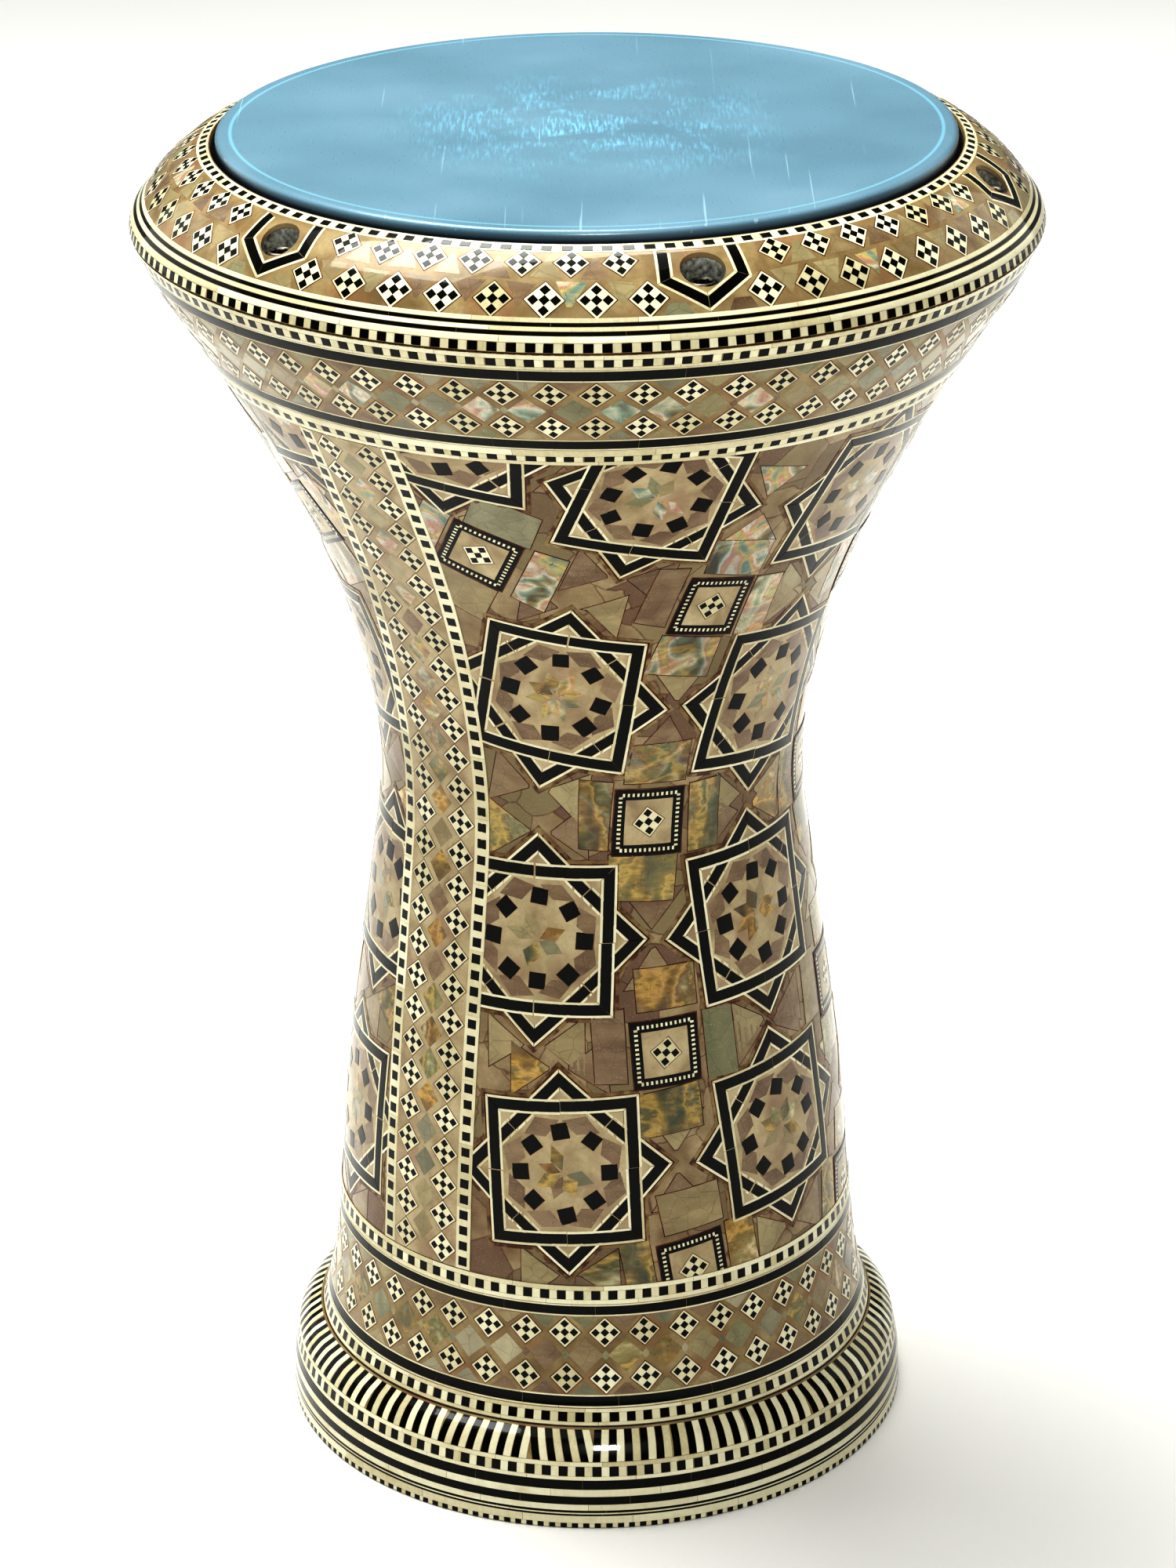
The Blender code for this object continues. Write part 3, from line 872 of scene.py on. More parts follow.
@once
def abalone_look():
    """Dark to gold shell, with a painted sheen of silver, rose, sea green and white laid over it, stronger up on
    the bowl.
    """
    look = Look("abalone", Roughness=0.25, Specular_IOR_Level=0.35, **COAT).lacquer()
    look.shader.inputs["Thin Film Thickness"].default_value = 360
    look.shader.inputs["Thin Film IOR"].default_value = 1.4
    tone = look.tone()
    bands, lines = nacre(
        look,
        tone,
        12.0,
        (0.34, colour(40, 34, 18)),
        (0.41, colour(92, 82, 40)),
        (0.46, colour(152, 124, 56)),
        (0.50, colour(214, 178, 96)),
        (0.54, colour(104, 96, 54)),
        (0.60, colour(158, 150, 104)),
        (0.67, colour(236, 226, 190)),
    )
    tint = look.ramp(
        tone,
        (0.0, colour(78, 78, 50)),
        (0.16, colour(128, 110, 50)),
        (0.34, colour(208, 158, 70)),
        (0.50, colour(160, 154, 106)),
        (0.66, colour(94, 94, 62)),
        (0.80, colour(150, 96, 54)),
        (0.92, colour(122, 130, 92)),
        (1.0, colour(206, 200, 174)),
    )
    base = look.mix(0.36, bands, tint)
    # Painted sheen: bright silver, rose and sea-green reflection streaks laid over the shell colour.
    painted_sheen_place = look.shifted(look.spread((0.6, 1, 0.5), (0.2, 0.3, 0.8)), tone)
    painted_sheen = look.ramp(
        look.noise(9, 1.5, painted_sheen_place, distortion=1.2),
        (0.34, colour(96, 92, 84)),
        (0.42, colour(150, 178, 168)),
        (0.48, colour(236, 236, 222)),
        (0.54, colour(212, 166, 158)),
        (0.60, colour(214, 204, 148)),
        (0.68, colour(128, 168, 170)),
    )
    # The painted sheen is given a larger share higher up the drum, over the bowl.
    height = look.node("SeparateXYZ", {"Vector": look.place}).outputs["Z"]
    base = look.mix(look.remap(height, 0.22, 0.33, 0.08, 0.6), base, painted_sheen)
    veins = look.noise(5.5, 4.0, look.shifted(look.place, tone), distortion=1.6)
    near = look.maths("ABSOLUTE", look.maths("SUBTRACT", veins, 0.5))
    line = look.remap(near, 0.0, 0.010, 0.6, 0.0)
    base = look.mix(line, base, colour(52, 34, 14))
    return look.put(Base_Color=base, Normal=look.bump(lines, 0.05))


@once
def field_ground_look():
    """Filler between the figures: clouds of cream and grey-brown, chips of pearl drowned in it, red stains."""
    look = Look("field_filler", Roughness=0.36, Specular_IOR_Level=0.15, **COAT).lacquer()
    shades = (colour(136, 116, 86), colour(166, 148, 116), colour(190, 172, 140), colour(104, 56, 28))
    base = cloudy(look, *shades, 0.6)
    place = look.shifted(look.place, look.maths("MULTIPLY", look.noise(11, 2.0), 0.006))
    hue = look.node("SeparateColor", {"Color": look.cells(17, "Color", vector=place)}).outputs["Red"]
    chip = look.ramp(
        hue,
        (0.05, colour(122, 96, 80)),
        (0.40, colour(136, 124, 92)),
        (0.70, colour(170, 154, 124)),
        (0.95, colour(112, 92, 74)),
    )
    drowned = look.remap(hue, 0.45, 0.60, 0.85, 0.15)
    base = look.mix(drowned, base, chip)
    gap = look.cells(17, feature="DISTANCE_TO_EDGE", vector=place)
    rough_gap = look.maths("ADD", gap, look.maths("MULTIPLY", look.noise(1.2), 0.02))
    seam = look.remap(rough_gap, 0.012, 0.030, 0.6, 0.0)
    base = look.mix(seam, base, colour(88, 44, 20))
    flakes = look.remap(look.cells(0.9), 0.0, 0.30, 0.3, 0.0)
    return look.put(Base_Color=look.mix(flakes, base, colour(204, 190, 162)))


@once
def band_ground_look():
    """Filler under the bands and the ring's inlay."""
    look = Look("pale_resin", Roughness=0.4, Specular_IOR_Level=0.12, **COAT).lacquer()
    shades = (colour(132, 112, 80), colour(160, 140, 104), colour(182, 164, 126), colour(158, 112, 84))
    return look.put(Base_Color=cloudy(look, *shades, 0.55))


@once
def film_look():
    """Coated drum film: satin blue with a brushed swirl, scuffs where hands fall, and painted shade on the
    collar where it drops into the gap.
    """
    look = Look("blue_film", Roughness=0.3, Specular_IOR_Level=0.3)
    look.shader.inputs["Coat Weight"].default_value = 0.3
    look.shader.inputs["Coat Roughness"].default_value = 0.18
    parts = look.node("SeparateXYZ", {"Vector": look.place}).outputs
    square = look.maths("ADD", look.maths("POWER", parts["X"], 2.0), look.maths("POWER", parts["Y"], 2.0))
    reach = look.maths("POWER", square, 0.5)
    blue = settings().film_colour
    cloud = look.noise(60, 2.0)
    base = look.ramp(cloud, (0.34, colour(114, 144, 160)), (0.52, blue), (0.70, colour(132, 160, 176)))
    grain = look.remap(look.noise(0.45, 2.0), 0.40, 0.70, 0.0, 0.10)
    base = look.mix(grain, base, colour(146, 186, 204))
    hairs = look.noise(0.8, 3.0, look.spread((1, 0.10, 1), (0, 0, 0.25)), 0.3)
    near_middle = look.remap(reach, 0.015, 0.066, 1.0, 0.0)
    scuff = look.remap(look.noise(16, 4.0, distortion=0.4), 0.42, 0.60)
    worn = look.maths("MULTIPLY", near_middle, scuff)
    sparkle = look.maths("MULTIPLY", worn, look.remap(hairs, 0.46, 0.66, 0.05, 0.8))
    base = look.mix(sparkle, base, colour(150, 208, 234))
    long_hairs = look.noise(1.6, 2.0, look.spread((1, 0.012, 1), (0, 0, -0.9)))
    scratch = look.remap(long_hairs, 0.70, 0.74, 0.0, 0.35)
    base = look.mix(scratch, base, colour(206, 232, 242))
    seat = look.maths("ABSOLUTE", look.maths("SUBTRACT", reach, 106.2 * MM))
    seat_line = look.remap(seat, 0.3 * MM, 0.7 * MM, 0.5, 0.0)
    base = look.mix(seat_line, base, colour(150, 206, 226))
    # Painted shade: the collar, where the film drops down towards the hoop, is darkened to a deep blue by
    # height.
    side = look.remap(parts["Z"], 422.2 * MM, 425.0 * MM, 0.93, 0.0)
    base = look.mix(side, base, colour(10, 34, 58))
    rough = look.remap(hairs, 0.3, 0.7, 0.27, 0.33)
    return look.put(Base_Color=base, Roughness=rough, Normal=look.bump(hairs, 0.002))


def metal(name, dark, light, rough, grain, size=1.0, depth=0.02, stretch=(1, 1, 1), metallic=1.0):
    """A metal from dark to light along a mix of grain and slow clouds, spotted with grime."""
    look = Look(name, Metallic=metallic, Roughness=rough)
    streak = look.noise(size, 5.0, look.spread(stretch))
    cloud = look.noise(14, 4.0)
    slow = look.maths("MULTIPLY", cloud, 1 - grain)
    shade = look.maths("ADD", look.maths("MULTIPLY", streak, grain), slow)
    base = look.ramp(shade, (0.32, dark), (0.66, light))
    spots = look.remap(look.noise(5, 6.0), 0.58, 0.74, 0.0, 0.3)
    base = look.mix(spots, base, colour(58, 50, 40))
    roughness = look.remap(streak, 0.3, 0.7, max(rough - 0.08, 0.02), rough + 0.14)
    return look.put(Base_Color=base, Roughness=roughness, Normal=look.bump(streak, depth))


@once
def casting_look():
    dark, light = colour(120, 118, 112), colour(176, 174, 168)
    return metal("sand_cast_aluminium", dark, light, 0.55, 0.6, 1.1, 0.22)


@once
def ring_metal_look():
    dark, light = colour(96, 96, 90), colour(214, 214, 206)
    return metal("ring_aluminium", dark, light, 0.42, 0.8, 1.3, 0.12, metallic=0.4)


@once
def hoop_look():
    dark, light = colour(150, 149, 146), colour(200, 199, 196)
    return metal("hoop_aluminium", dark, light, 0.28, 0.5, 0.5, 0.01, (1, 1, 6))


@once
def steel_look():
    return metal("blackened_steel", colour(66, 63, 58), colour(136, 131, 122), 0.36, 0.5, 1.2, 0.05)


@once
def zinc_look():
    return metal("zinc_plate", colour(140, 142, 146), colour(196, 198, 200), 0.3, 0.4, 0.8, 0.01)


@once
def brass_look():
    return metal("brass", colour(150, 116, 52), colour(206, 172, 96), 0.28, 0.4, 0.8, 0.01)


LOOKS = {
    "resin": resin_look,
    "stain": stain_look,
    "cream": cream_look,
    "pearl": pearl_look,
    "abalone": abalone_look,
    "bone": bone_look,
    "black": black_look,
}


# ---------------------------------------------------------------- pieces of the drum

# A recess is this wide in radius round the drum, and this share of it towards the drum's axis.
RECESS, RECESS_FLAT = 6.5, 0.72
RECESS_TOP = 430.0
AXIS = 0.001
BOLT_CIRCLE = 122.7
BOLT_ANGLES = [math.radians(15 + 60 * step) for step in range(-1, 5)]
BOLT_NODES = [f"tension_bolt_{number}" for number in range(1, 7)]
# The checkered row at the foot of the bowl reaches a little past the join of the two nodes.
FIELD_EDGE = FIELD_TOP + 2.4
GROUND_TOP = -0.16
GROUND_THICKNESS = 1.2


def node_place(node):
    """Middle of a node's box, seen from above."""
    low, high = box_mm(node)
    return (low[:2] + high[:2]) / 2


def bolt_centres():
    return [node_place(node) for node in BOLT_NODES]


def skin_outline(skin, start, end, top, thickness):
    """The closed section of a layer of a skin, from its inner side back to its outer one."""
    s = np.linspace(start, end, max(3, int((end - start) / 0.8)))
    outer, inner = skin.place(0 * s, s, top), skin.place(0 * s, s, top - thickness)
    section = np.concatenate([outer, inner[::-1]])
    return np.stack([-section[:, 1], section[:, 2]], -1)


def ground_layer(zone, skin, span, look, body, top, holes):
    """The filler that a zone's tiles are set in, with the bolts' recesses through it where asked for."""
    name = f"{zone}_ground"
    mesh = turned(name, skin_outline(skin, *span, top, GROUND_THICKNESS), 288)
    if holes:
        recess = [(AXIS, 395), (RECESS, 395), (RECESS, RECESS_TOP), (AXIS, RECESS_TOP)]
        mesh = cut_holes(mesh, bolt_centres(), recess, RECESS_FLAT)
        mesh.materials.clear()
    return add_piece(name, mesh, look, body, [f"{zone}_inlay"])


def pearl_band(inlay, low, high, count, side, start):
    """Two rows of checkered diamonds with lozenges of shell between and beyond them."""
    reach = side / math.sqrt(2) + 0.25
    angles = start + np.arange(count) * 2 * np.pi / count
    half = np.pi / count
    middle = (low + high) / 2
    inlay.diamonds(angles + inlay.rng.normal(0, 0.002, count), low + reach, side)
    inlay.diamonds(angles + inlay.rng.normal(0, 0.002, count), high - reach, side)
    wide = 2 * np.pi * float(inlay.skin.radius(middle)) / count
    inlay.lozenges(angles + half, middle, wide * 0.86, wide * 0.86)
    small = wide * 0.36
    wedge = np.array([(-small, 0.1), (small, 0.1), (0.4, small * 0.85), (-0.4, small * 0.85)])
    for s, shape in ((low, wedge), (high, (wedge * (1, -1))[::-1])):
        inlay.lay("pearl", angles + half, s, np.repeat(shape[None], count, 0), (3, 2), -0.03)
    gem = np.array([(-1.5, 0), (0, -1.7), (1.5, 0), (0, 1.7)])
    inlay.lay("pearl", angles, middle, np.repeat(gem[None], count, 0), raise_by=-0.02)


def lay_foot(inlay):
    """Lines and checkered rows, by their heights, and a fan of slanting stripes over the foot's shoulder."""
    at = BODY.at_height
    inlay.checker(at(0.3), at(1.8), 3.6)
    for kind, low, high in (
        ("bone", 1.85, 4.4),
        ("black", 4.5, 5.0),
        ("bone", 5.05, 5.55),
        ("black", 5.6, 6.3),
        ("bone", 6.35, 8.45),
        ("black", 8.5, 11.2),
        ("bone", 11.25, 13.65),
        ("black", 13.7, 16.6),
    ):
        inlay.line(kind, at(low), at(high))
    inlay.checker(at(16.7), at(22.6), 5.4, (1.3, 1.5))
    low, high = at(22.75), at(30.2)
    radius = float(BODY.radius((low + high) / 2))
    pitch, block_gap = 4.95, 0.35
    angle, stripes = 0.0, []
    while angle < 2 * np.pi - 0.02:
        lean = inlay.rng.normal(0, 0.10)
        for _ in range(int(inlay.rng.integers(4, 7))):
            stripes.append((angle, lean + inlay.rng.normal(0, 0.012)))
            angle += pitch / radius
        angle += block_gap / radius
    stripes = np.array([stripe for stripe in stripes if stripe[0] < 2 * np.pi - 0.03])
    slant = (high - low) / 2 * np.tan(stripes[:, 1])
    for kind, centre, width in (("black", 0.0, 2.3), ("bone", 2.45, 2.35)):
        quads = np.repeat(rectangle(width, high - low)[None], len(stripes), 0)
        quads[:, :2, 0] -= slant[:, None]
        quads[:, 2:, 0] += slant[:, None]
        inlay.lay(kind, stripes[:, 0] + centre / radius, (low + high) / 2, quads, (2, 8), follow=0.0)


def lay_stem_band(inlay):
    """The band over the foot: checkered, black, two rows of diamonds, black, checkered."""
    at = BODY.at_height
    inlay.checker(at(31.15), at(36.2), 5.4, (1.1, 1.2))
    inlay.edged_line(at(36.5), at(40.5))
    pearl_band(inlay, at(40.6), at(66.4), 42, 7.2, math.radians(2))
    inlay.edged_line(at(66.6), at(70.5))
    inlay.checker(at(70.7), at(76.8), 5.4, (1.5, 1.6))


def lay_bowl_band(inlay):
    """The band under the ring, laid as the one over the foot is."""
    at = BODY.at_height
    inlay.checker(at(FIELD_EDGE + 0.1), at(363.4), 5.5, (1.5, 2.7))
    inlay.edged_line(at(363.6), at(367.3))
    pearl_band(inlay, at(367.4), at(388.7), 61, 7.2, math.radians(1))
    inlay.edged_line(at(388.8), at(392.9))
    inlay.checker(at(393.0), at(397.9), 5.5, (1.0, 1.6))


# The figures of one side of the field: angle round the drum and lean in degrees, height in millimetres.
STARS = [
    (-7.0, 114.5, 3), (47.8, 117.5, 4), (106.0, 113.0, 2),
    (-14.3, 189.0, 0), (46.5, 189.0, 2), (112.0, 187.5, -1),
    (-8.2, 271.0, -11), (49.0, 262.0, -6), (104.0, 266.0, 5),
    (-21.0, 365.0, -10), (10.5, 344.0, -14), (53.5, 331.0, -6), (95.0, 338.0, 6), (128.0, 362.0, 8),
]
FRAMES = [
    (-20.2, 321.5, -28), (25.1, 300.5, -11), (14.9, 226.3, -3), (17.2, 152.3, 2), (22.0, 79.5, 8),
    (75.5, 298.0, 5), (79.5, 226.0, 3), (79.0, 152.0, -2), (77.0, 80.5, -5), (116.0, 318.0, 24),
]
BAND_ANGLE, BAND_WIDTH = math.radians(-30.3), 31.4


def lay_field(inlay, turned_by):
    """One side of the field: stars in rows, framed diamonds between them, and shell round the frames."""
    rng, quarter = inlay.rng, math.pi / 2
    wedge = np.array([(-0.5, -6.0), (0.5, -6.0), (9.0, 6.0), (-9.0, 6.0)])
    inlay.drop = -0.16
    for angle, z, lean in FRAMES:
        place = (math.radians(angle) + turned_by, BODY.at_height(z))
        spin = math.radians(lean)
        for x, y, wide, high in (
            (-17.6, 2.5, 9.5, 22.5),
            (17.8, 0.5, 10.5, 22.5),
            (1.5, 20.0, 20.5, 14.0),
            (-1.0, -18.8, 20.5, 14.5),
        ):
            x, y = x + rng.normal(0, 0.5), y + rng.normal(0, 0.8)
            corners = rectangle(wide, high) + rng.normal(0, 0.45, (4, 2)) + (x, y)
            inlay.shell_piece(*place, turn(corners, spin))
    for angle, z, lean in STARS:
        place = (math.radians(angle) + turned_by, BODY.at_height(z))
        spin = math.radians(lean)
        for x, y, direction in (
            (36.0, 9.5, 0.0), (36.0, -9.5, math.pi),
            (9.5, 34.5, -quarter), (-9.5, 34.5, quarter),
            (9.5, -34.5, -quarter), (-9.5, -34.5, quarter),
        ):
            corners = wedge + rng.normal(0, 0.5, (4, 2))
            corners = turn(turn(corners, direction) + (x, y), spin)
            inlay.shell_piece(*place, corners, 0.1, -0.12, [rng.uniform(0.0, 0.6)])
    for angle, z, lean in FRAMES:
        inlay.small_frame(math.radians(angle) + turned_by, BODY.at_height(z), math.radians(lean))
    for angle, z, lean in STARS:
        inlay.star(math.radians(angle) + turned_by, BODY.at_height(z), math.radians(lean))
    inlay.drop = 0.0


def lay_upright_band(inlay, angle):
    """A band that climbs the body: a checkered column at either side, two rows of diamonds between them.

    Its left edge keeps one angle. A place at so many millimetres from that edge has the angle less the
    offset over the radius, so the band keeps its width while the body swells, and its columns lean.
    """
    low, high = BODY.at_height(FIELD_BOTTOM + 0.2), BODY.at_height(FIELD_EDGE - 0.2)
    total, half, middle = high - low, BAND_WIDTH / 2, BAND_WIDTH / 2

    def along(s, offset):
        return angle - offset / BODY.radius(s)

    def lean(s, offset):
        return (along(s + 1, offset) - along(s - 1, offset)) / 2 * BODY.radius(s)

    strips = 12
    reach = total / strips / 2
    for i in range(strips):
        s = low + (2 * i + 1) * reach
        here = along(s, middle)
        bottom, top = ((along(end, middle) - here) * BODY.radius(end) for end in (s - reach, s + reach))
        quad = [(bottom - half, -reach), (bottom + half, -reach), (top + half, reach), (top - half, reach)]
        inlay.lay("cream", here, s, quad, (12, 10), tone=[0.5])
    count = int(round(total / 5.3))
    pitch = total / count
    for offset in (0.0, BAND_WIDTH):
        for i in range(count):
            if i % 4 == 0:
                span = min(4, count - i) * pitch
                centre = low + i * pitch + span / 2
                strip = turn(rectangle(5.1, span - 0.05), -float(lean(centre, offset)))
                inlay.lay("bone", float(along(centre, offset)), centre, strip, (2, 8))
            s = low + (i + 0.5) * pitch
            size = 3.0 + inlay.rng.normal(0, 0.07)
            tilt = inlay.rng.normal(0, 0.02) - float(lean(s, offset))
            inlay.lay("black", float(along(s, offset)), s, turn(rectangle(size, size), tilt))
    rows = int(round(total / 10.9))
    pitch = total / rows
    centres = low + (np.arange(rows) + 0.5) * pitch
    for offset in (8.0, BAND_WIDTH - 8.0):
        inlay.diamonds(along(centres, offset), centres, 7.3)
    between = low + np.arange(1, rows) * pitch
    inlay.lozenges(along(between, middle), between, 9.0, 10.4, 0.5)


def lay_rim(inlay):
    """Checkered rows, lines, a pointed strap round each bolt, and diamonds in two rows between bolts."""
    at_r, at_z = RING.at_radius, RING.at_height
    inlay.checker(at_r(116.4), at_r(112.9), 5.7, (0.9, 0.7))
    inlay.checker(at_z(398.75), at_z(401.3), 5.4)
    for kind, low, high in (
        ("bone", 401.4, 403.1),
        ("black", 403.2, 404.1),
        ("bone", 404.2, 405.2),
        ("black", 405.3, 406.1),
        ("bone", 406.2, 407.3),
    ):
        inlay.line(kind, at_z(low), at_z(high))
    bolt = at_r(BOLT_CIRCLE)
    top, shoulder, point = at_r(116.6) - bolt, at_r(126.2) - bolt, at_r(132.4) - bolt
    outline = np.array([(-12.4, top), (-13.8, shoulder), (0.0, point), (13.8, shoulder), (12.4, top)])
    wedge = np.array([(-4.5, -2.2), (4.5, -2.2), (2.5, 1.6), (-2.5, 1.6)])
    width = 4.6
    for angle in BOLT_ANGLES:
        shaky = outline + inlay.rng.normal(0, 0.25, (5, 2)) * (1, 0.6)
        shaky[[0, 4], 1] = top
        for i in range(4):
            ahead = shaky[i + 1] - shaky[i]
            cuts = []
            for end, other in ((i, i - 1), (i + 1, i + 2)):
                if end in (0, 4):
                    cuts.append(ahead[0] / abs(ahead[1]) * (1 if end == 4 else -1))
                    continue
                first, second = shaky[other] - shaky[end], shaky[2 * i + 1 - end] - shaky[end]
                cosine = first @ second / np.linalg.norm(first) / np.linalg.norm(second)
                cuts.append(math.sqrt((1 + cosine) / (1 - cosine)))
            inlay.strap(shaky[i], shaky[i + 1], width, angle, bolt, 0.0, tuple(cuts), splice=False)
        for x in (-9.4, 9.4):
            inlay.lay("pearl", angle, bolt, wedge + (x, point * 0.86), (3, 2), -0.03)
    outer, inner = at_r(129.2), at_r(119.9)
    gap = 2 * np.pi / len(BOLT_ANGLES)
    step = gap * 0.107
    up = np.array([(-4.4, -3.2), (4.4, -3.2), (0.5, 4.2), (-0.5, 4.2)])
    for angle in BOLT_ANGLES:
        outer_places = angle + gap / 2 + (np.arange(8) - 3.5) * step
        inner_places = angle + gap / 2 + (np.arange(7) - 3) * step
        inlay.diamonds(outer_places, outer, 7.9)
        inlay.diamonds(inner_places, inner, 7.2)
        for places, s, shape in ((outer_places[1:-1], inner - 2.2, up), (inner_places, outer + 2.4, -up)):
            shapes = np.repeat(shape[None], len(places), 0) + inlay.rng.normal(0, 0.3, (len(places), 4, 2))
            rich = inlay.rng.uniform(0, 1, len(places)) < 0.2
            inlay.lay("abalone", places[rich], s, shapes[rich], (3, 3), -0.03)
            tones = inlay.rng.uniform(0.05, 0.6, (~rich).sum())
            inlay.lay("pearl", places[~rich], s, shapes[~rich], (3, 3), -0.03, tone=tones)


# ---------------------------------------------------------------- metal, head and bolts


def shell_section():
    """The casting: skin, foot ring, wall, flange and neck, as one closed outline."""
    depth, wall = 1.62, 8.0
    s = np.linspace(0, BODY.length, 240)
    skin = BODY.place(0 * s, s, -depth)
    outer = [(-y, z) for _, y, z in skin if z > 0.6]
    inner = []
    for height in np.linspace(SHOULDER - 17, 34.0, 150):
        radius = float(smooth_radius(GOBLET, np.array([height]))[0])
        inner.append((radius - wall, height))
    neck, bore, edge = 110.0, 104.5, 424.7
    section = [(FOOT_RADIUS - depth, 0.3), (FOOT_RADIUS - depth, 0.6), *outer]
    section += [(outer[-1][0], SHOULDER), (neck + 1.2, SHOULDER), (neck, SHOULDER + 1.2)]
    section += [(neck, edge - 2.6), (neck - 0.6, edge - 1.1), (neck - 1.6, edge - 0.3), (neck - 2.6, edge)]
    section += [(bore + 0.6, edge), (bore, edge - 0.6), (bore, SHOULDER - 8), (bore + 1.0, SHOULDER - 14)]
    section += inner
    section += [(90.0, 18.0), (92.0, 12.0), (92.0, 0.9), (92.6, 0.3)]
    return section


def ring_section():
    """The tension ring under its inlay: a pocket for the hoop, the ledge that presses on it, the skin."""
    s = np.linspace(0, RING.length, 60)
    skin = RING.place(0 * s, s, -1.5)
    inner, pocket, ledge, low = 112.35, 115.0, 409.8, 398.6
    outer = [(-y, z) for _, y, z in skin if z > low + 0.4 and -y > inner + 0.5]
    crest = outer[-1][1]
    section = [(pocket, low), (outer[0][0] - 0.3, low), *outer]
    return section + [(inner + 0.2, crest), (inner, crest - 0.3), (inner, ledge), (pocket, ledge)]


def bolt_section():
    """Outline of a bolt from its tip to the floor of its socket, then how each point is shaped."""
    low, high = box_mm(BOLT_NODES[0])
    top, head, shank, tip = high[2] - 0.5, (high[0] - low[0]) / 2 - 0.35, 3.0, low[2]
    seat = box_mm("bolt_washer_1")[1][2] + 0.3
    thread = list(np.arange(tip + 0.8, seat - 2.0, 0.125))
    rows = [(AXIS, tip, "round"), (shank - 0.9, tip, "round"), (shank - 0.45, tip + 0.5, "round")]
    rows += [(shank - 0.25, z, "thread") for z in thread]
    rows += [(shank - 0.35, seat - 1.8, "round"), (shank - 0.05, seat - 1.2, "round")]
    rows += [(shank - 0.05, seat, "round"), (head - 0.5, seat, "round"), (head - 0.15, seat + 0.25, "round")]
    rows += [(head - 0.15, seat + 0.5, "knurl")]
    rows += [(head - 0.15, z, "knurl") for z in np.arange(seat + 1.0, top - 1.2, 1.0)]
    rows += [(head - 0.15, top - 1.0, "knurl"), (head - 0.18, top - 0.85, "round")]
    rows += [(head - 0.35, top - 0.4, "round"), (head - 0.75, top - 0.1, "round"), (head - 1.2, top, "round")]
    rows += [(3.25, top, "round"), (2.9, top - 0.25, "round"), (2.5, top - 0.5, "hex"), (2.5, top - 2.9, "hex")]
    rows += [(2.2, top - 3.0, "hex"), (AXIS, top - 3.3, "round")]
    return rows


def bolt_mesh(name, centre, segments=72):
    """Each row of the outline is carried round the bolt's own axis, bent by its kind.

    A hexagon's radius is its flat's distance over the cosine of the angle from that flat. The thread's
    radius follows a triangle wave of height minus turn, one pitch of a millimetre to each turn.
    """
    rows = bolt_section()
    ridges = 18
    angle = np.linspace(0, 2 * np.pi, segments, endpoint=False)
    from_flat = (angle + np.pi / 6) % (np.pi / 3) - np.pi / 6
    base = np.array([(r, z) for r, z, _ in rows])
    kinds = np.array([kind for _, _, kind in rows])
    radius = np.repeat(base[:, :1], segments, 1)
    radius[kinds == "hex"] /= np.cos(from_flat)
    radius[kinds == "knurl"] += 0.15 * np.sign(np.sin(angle * ridges))
    wave = (base[:, 1:] - angle / (2 * np.pi)) % 1.0
    flanks = (np.abs(wave - 0.5) * 0.9 - 0.2).clip(-0.2, 0.25)
    radius[kinds == "thread"] += flanks[kinds == "thread"]
    height = np.repeat(base[:, 1:], segments, 1)
    x, y = radius * np.sin(angle) + centre[0], -radius * np.cos(angle) + centre[1]
    verts = np.stack([x, y, height], -1)
    verts = verts.transpose(1, 0, 2).reshape(-1, 3)
    mesh = make_mesh(name, verts, ring_quads(len(rows), segments)[:-segments])
    cap_ends(mesh, segments)
    mesh.set_sharp_from_angle(angle=math.radians(35))
    return mesh


def cap_ends(mesh, segments):
    """Closes the two tiny rings on the axis of a turned piece with one face each."""
    work = bmesh.new()
    work.from_mesh(mesh)
    bmesh.ops.holes_fill(work, edges=[edge for edge in work.edges if edge.is_boundary], sides=segments)
    work.to_mesh(mesh)
    work.free()


# ---------------------------------------------------------------- settings and operators


class Settings(bpy.types.PropertyGroup):
    """Choices that the drum's operators read."""

    inlay_seed: bpy.props.IntProperty(
        name="Inlay seed",
        description="Picks the small irregularities of the hand-cut pieces",
        default=11,
        min=0,
        subtype="UNSIGNED",
    )
    film_colour: bpy.props.FloatVectorProperty(
        name="Film colour",
        description="Middle shade of the drum head's film",
        default=colour(122, 152, 168),
        size=4,
        min=0,
        max=1,
        subtype="COLOR",
    )
    camera_lens: bpy.props.FloatProperty(
        name="Camera lens",
        description="Focal length of the camera",
        default=110.6,
        min=20,
        unit="CAMERA",
    )
    key_power: bpy.props.FloatProperty(
        name="Key light",
        description="Power that the lamps' own powers are shares of",
        default=26.0,
        min=0,
        unit="POWER",
    )


class BodyPieces(bpy.types.Operator):
    """Builds the cast shell of the drum"""

    bl_idname = "darbuka.body_pieces"
    bl_label = "Cast shell"

    def execute(self, context):
        mesh = turned("shell_casting", shell_section()[::-1], 216)
        add_piece("shell_casting", mesh, casting_look(), "shell", ["body_shell"])
        return {"FINISHED"}


def inlay_zone(zone, skin, body, span, ground, layers, seed, drop=0.0, holes=False):
    """A zone's filler and the tiles laid in it. Both stand for the zone's one node."""
    ground_layer(zone, skin, span, ground, body, GROUND_TOP + drop, holes)
    inlay = Inlayer(skin, seed)
    for layer in layers:
        layer(inlay)
    inlay.finish(zone, body, [f"{zone}_inlay"])


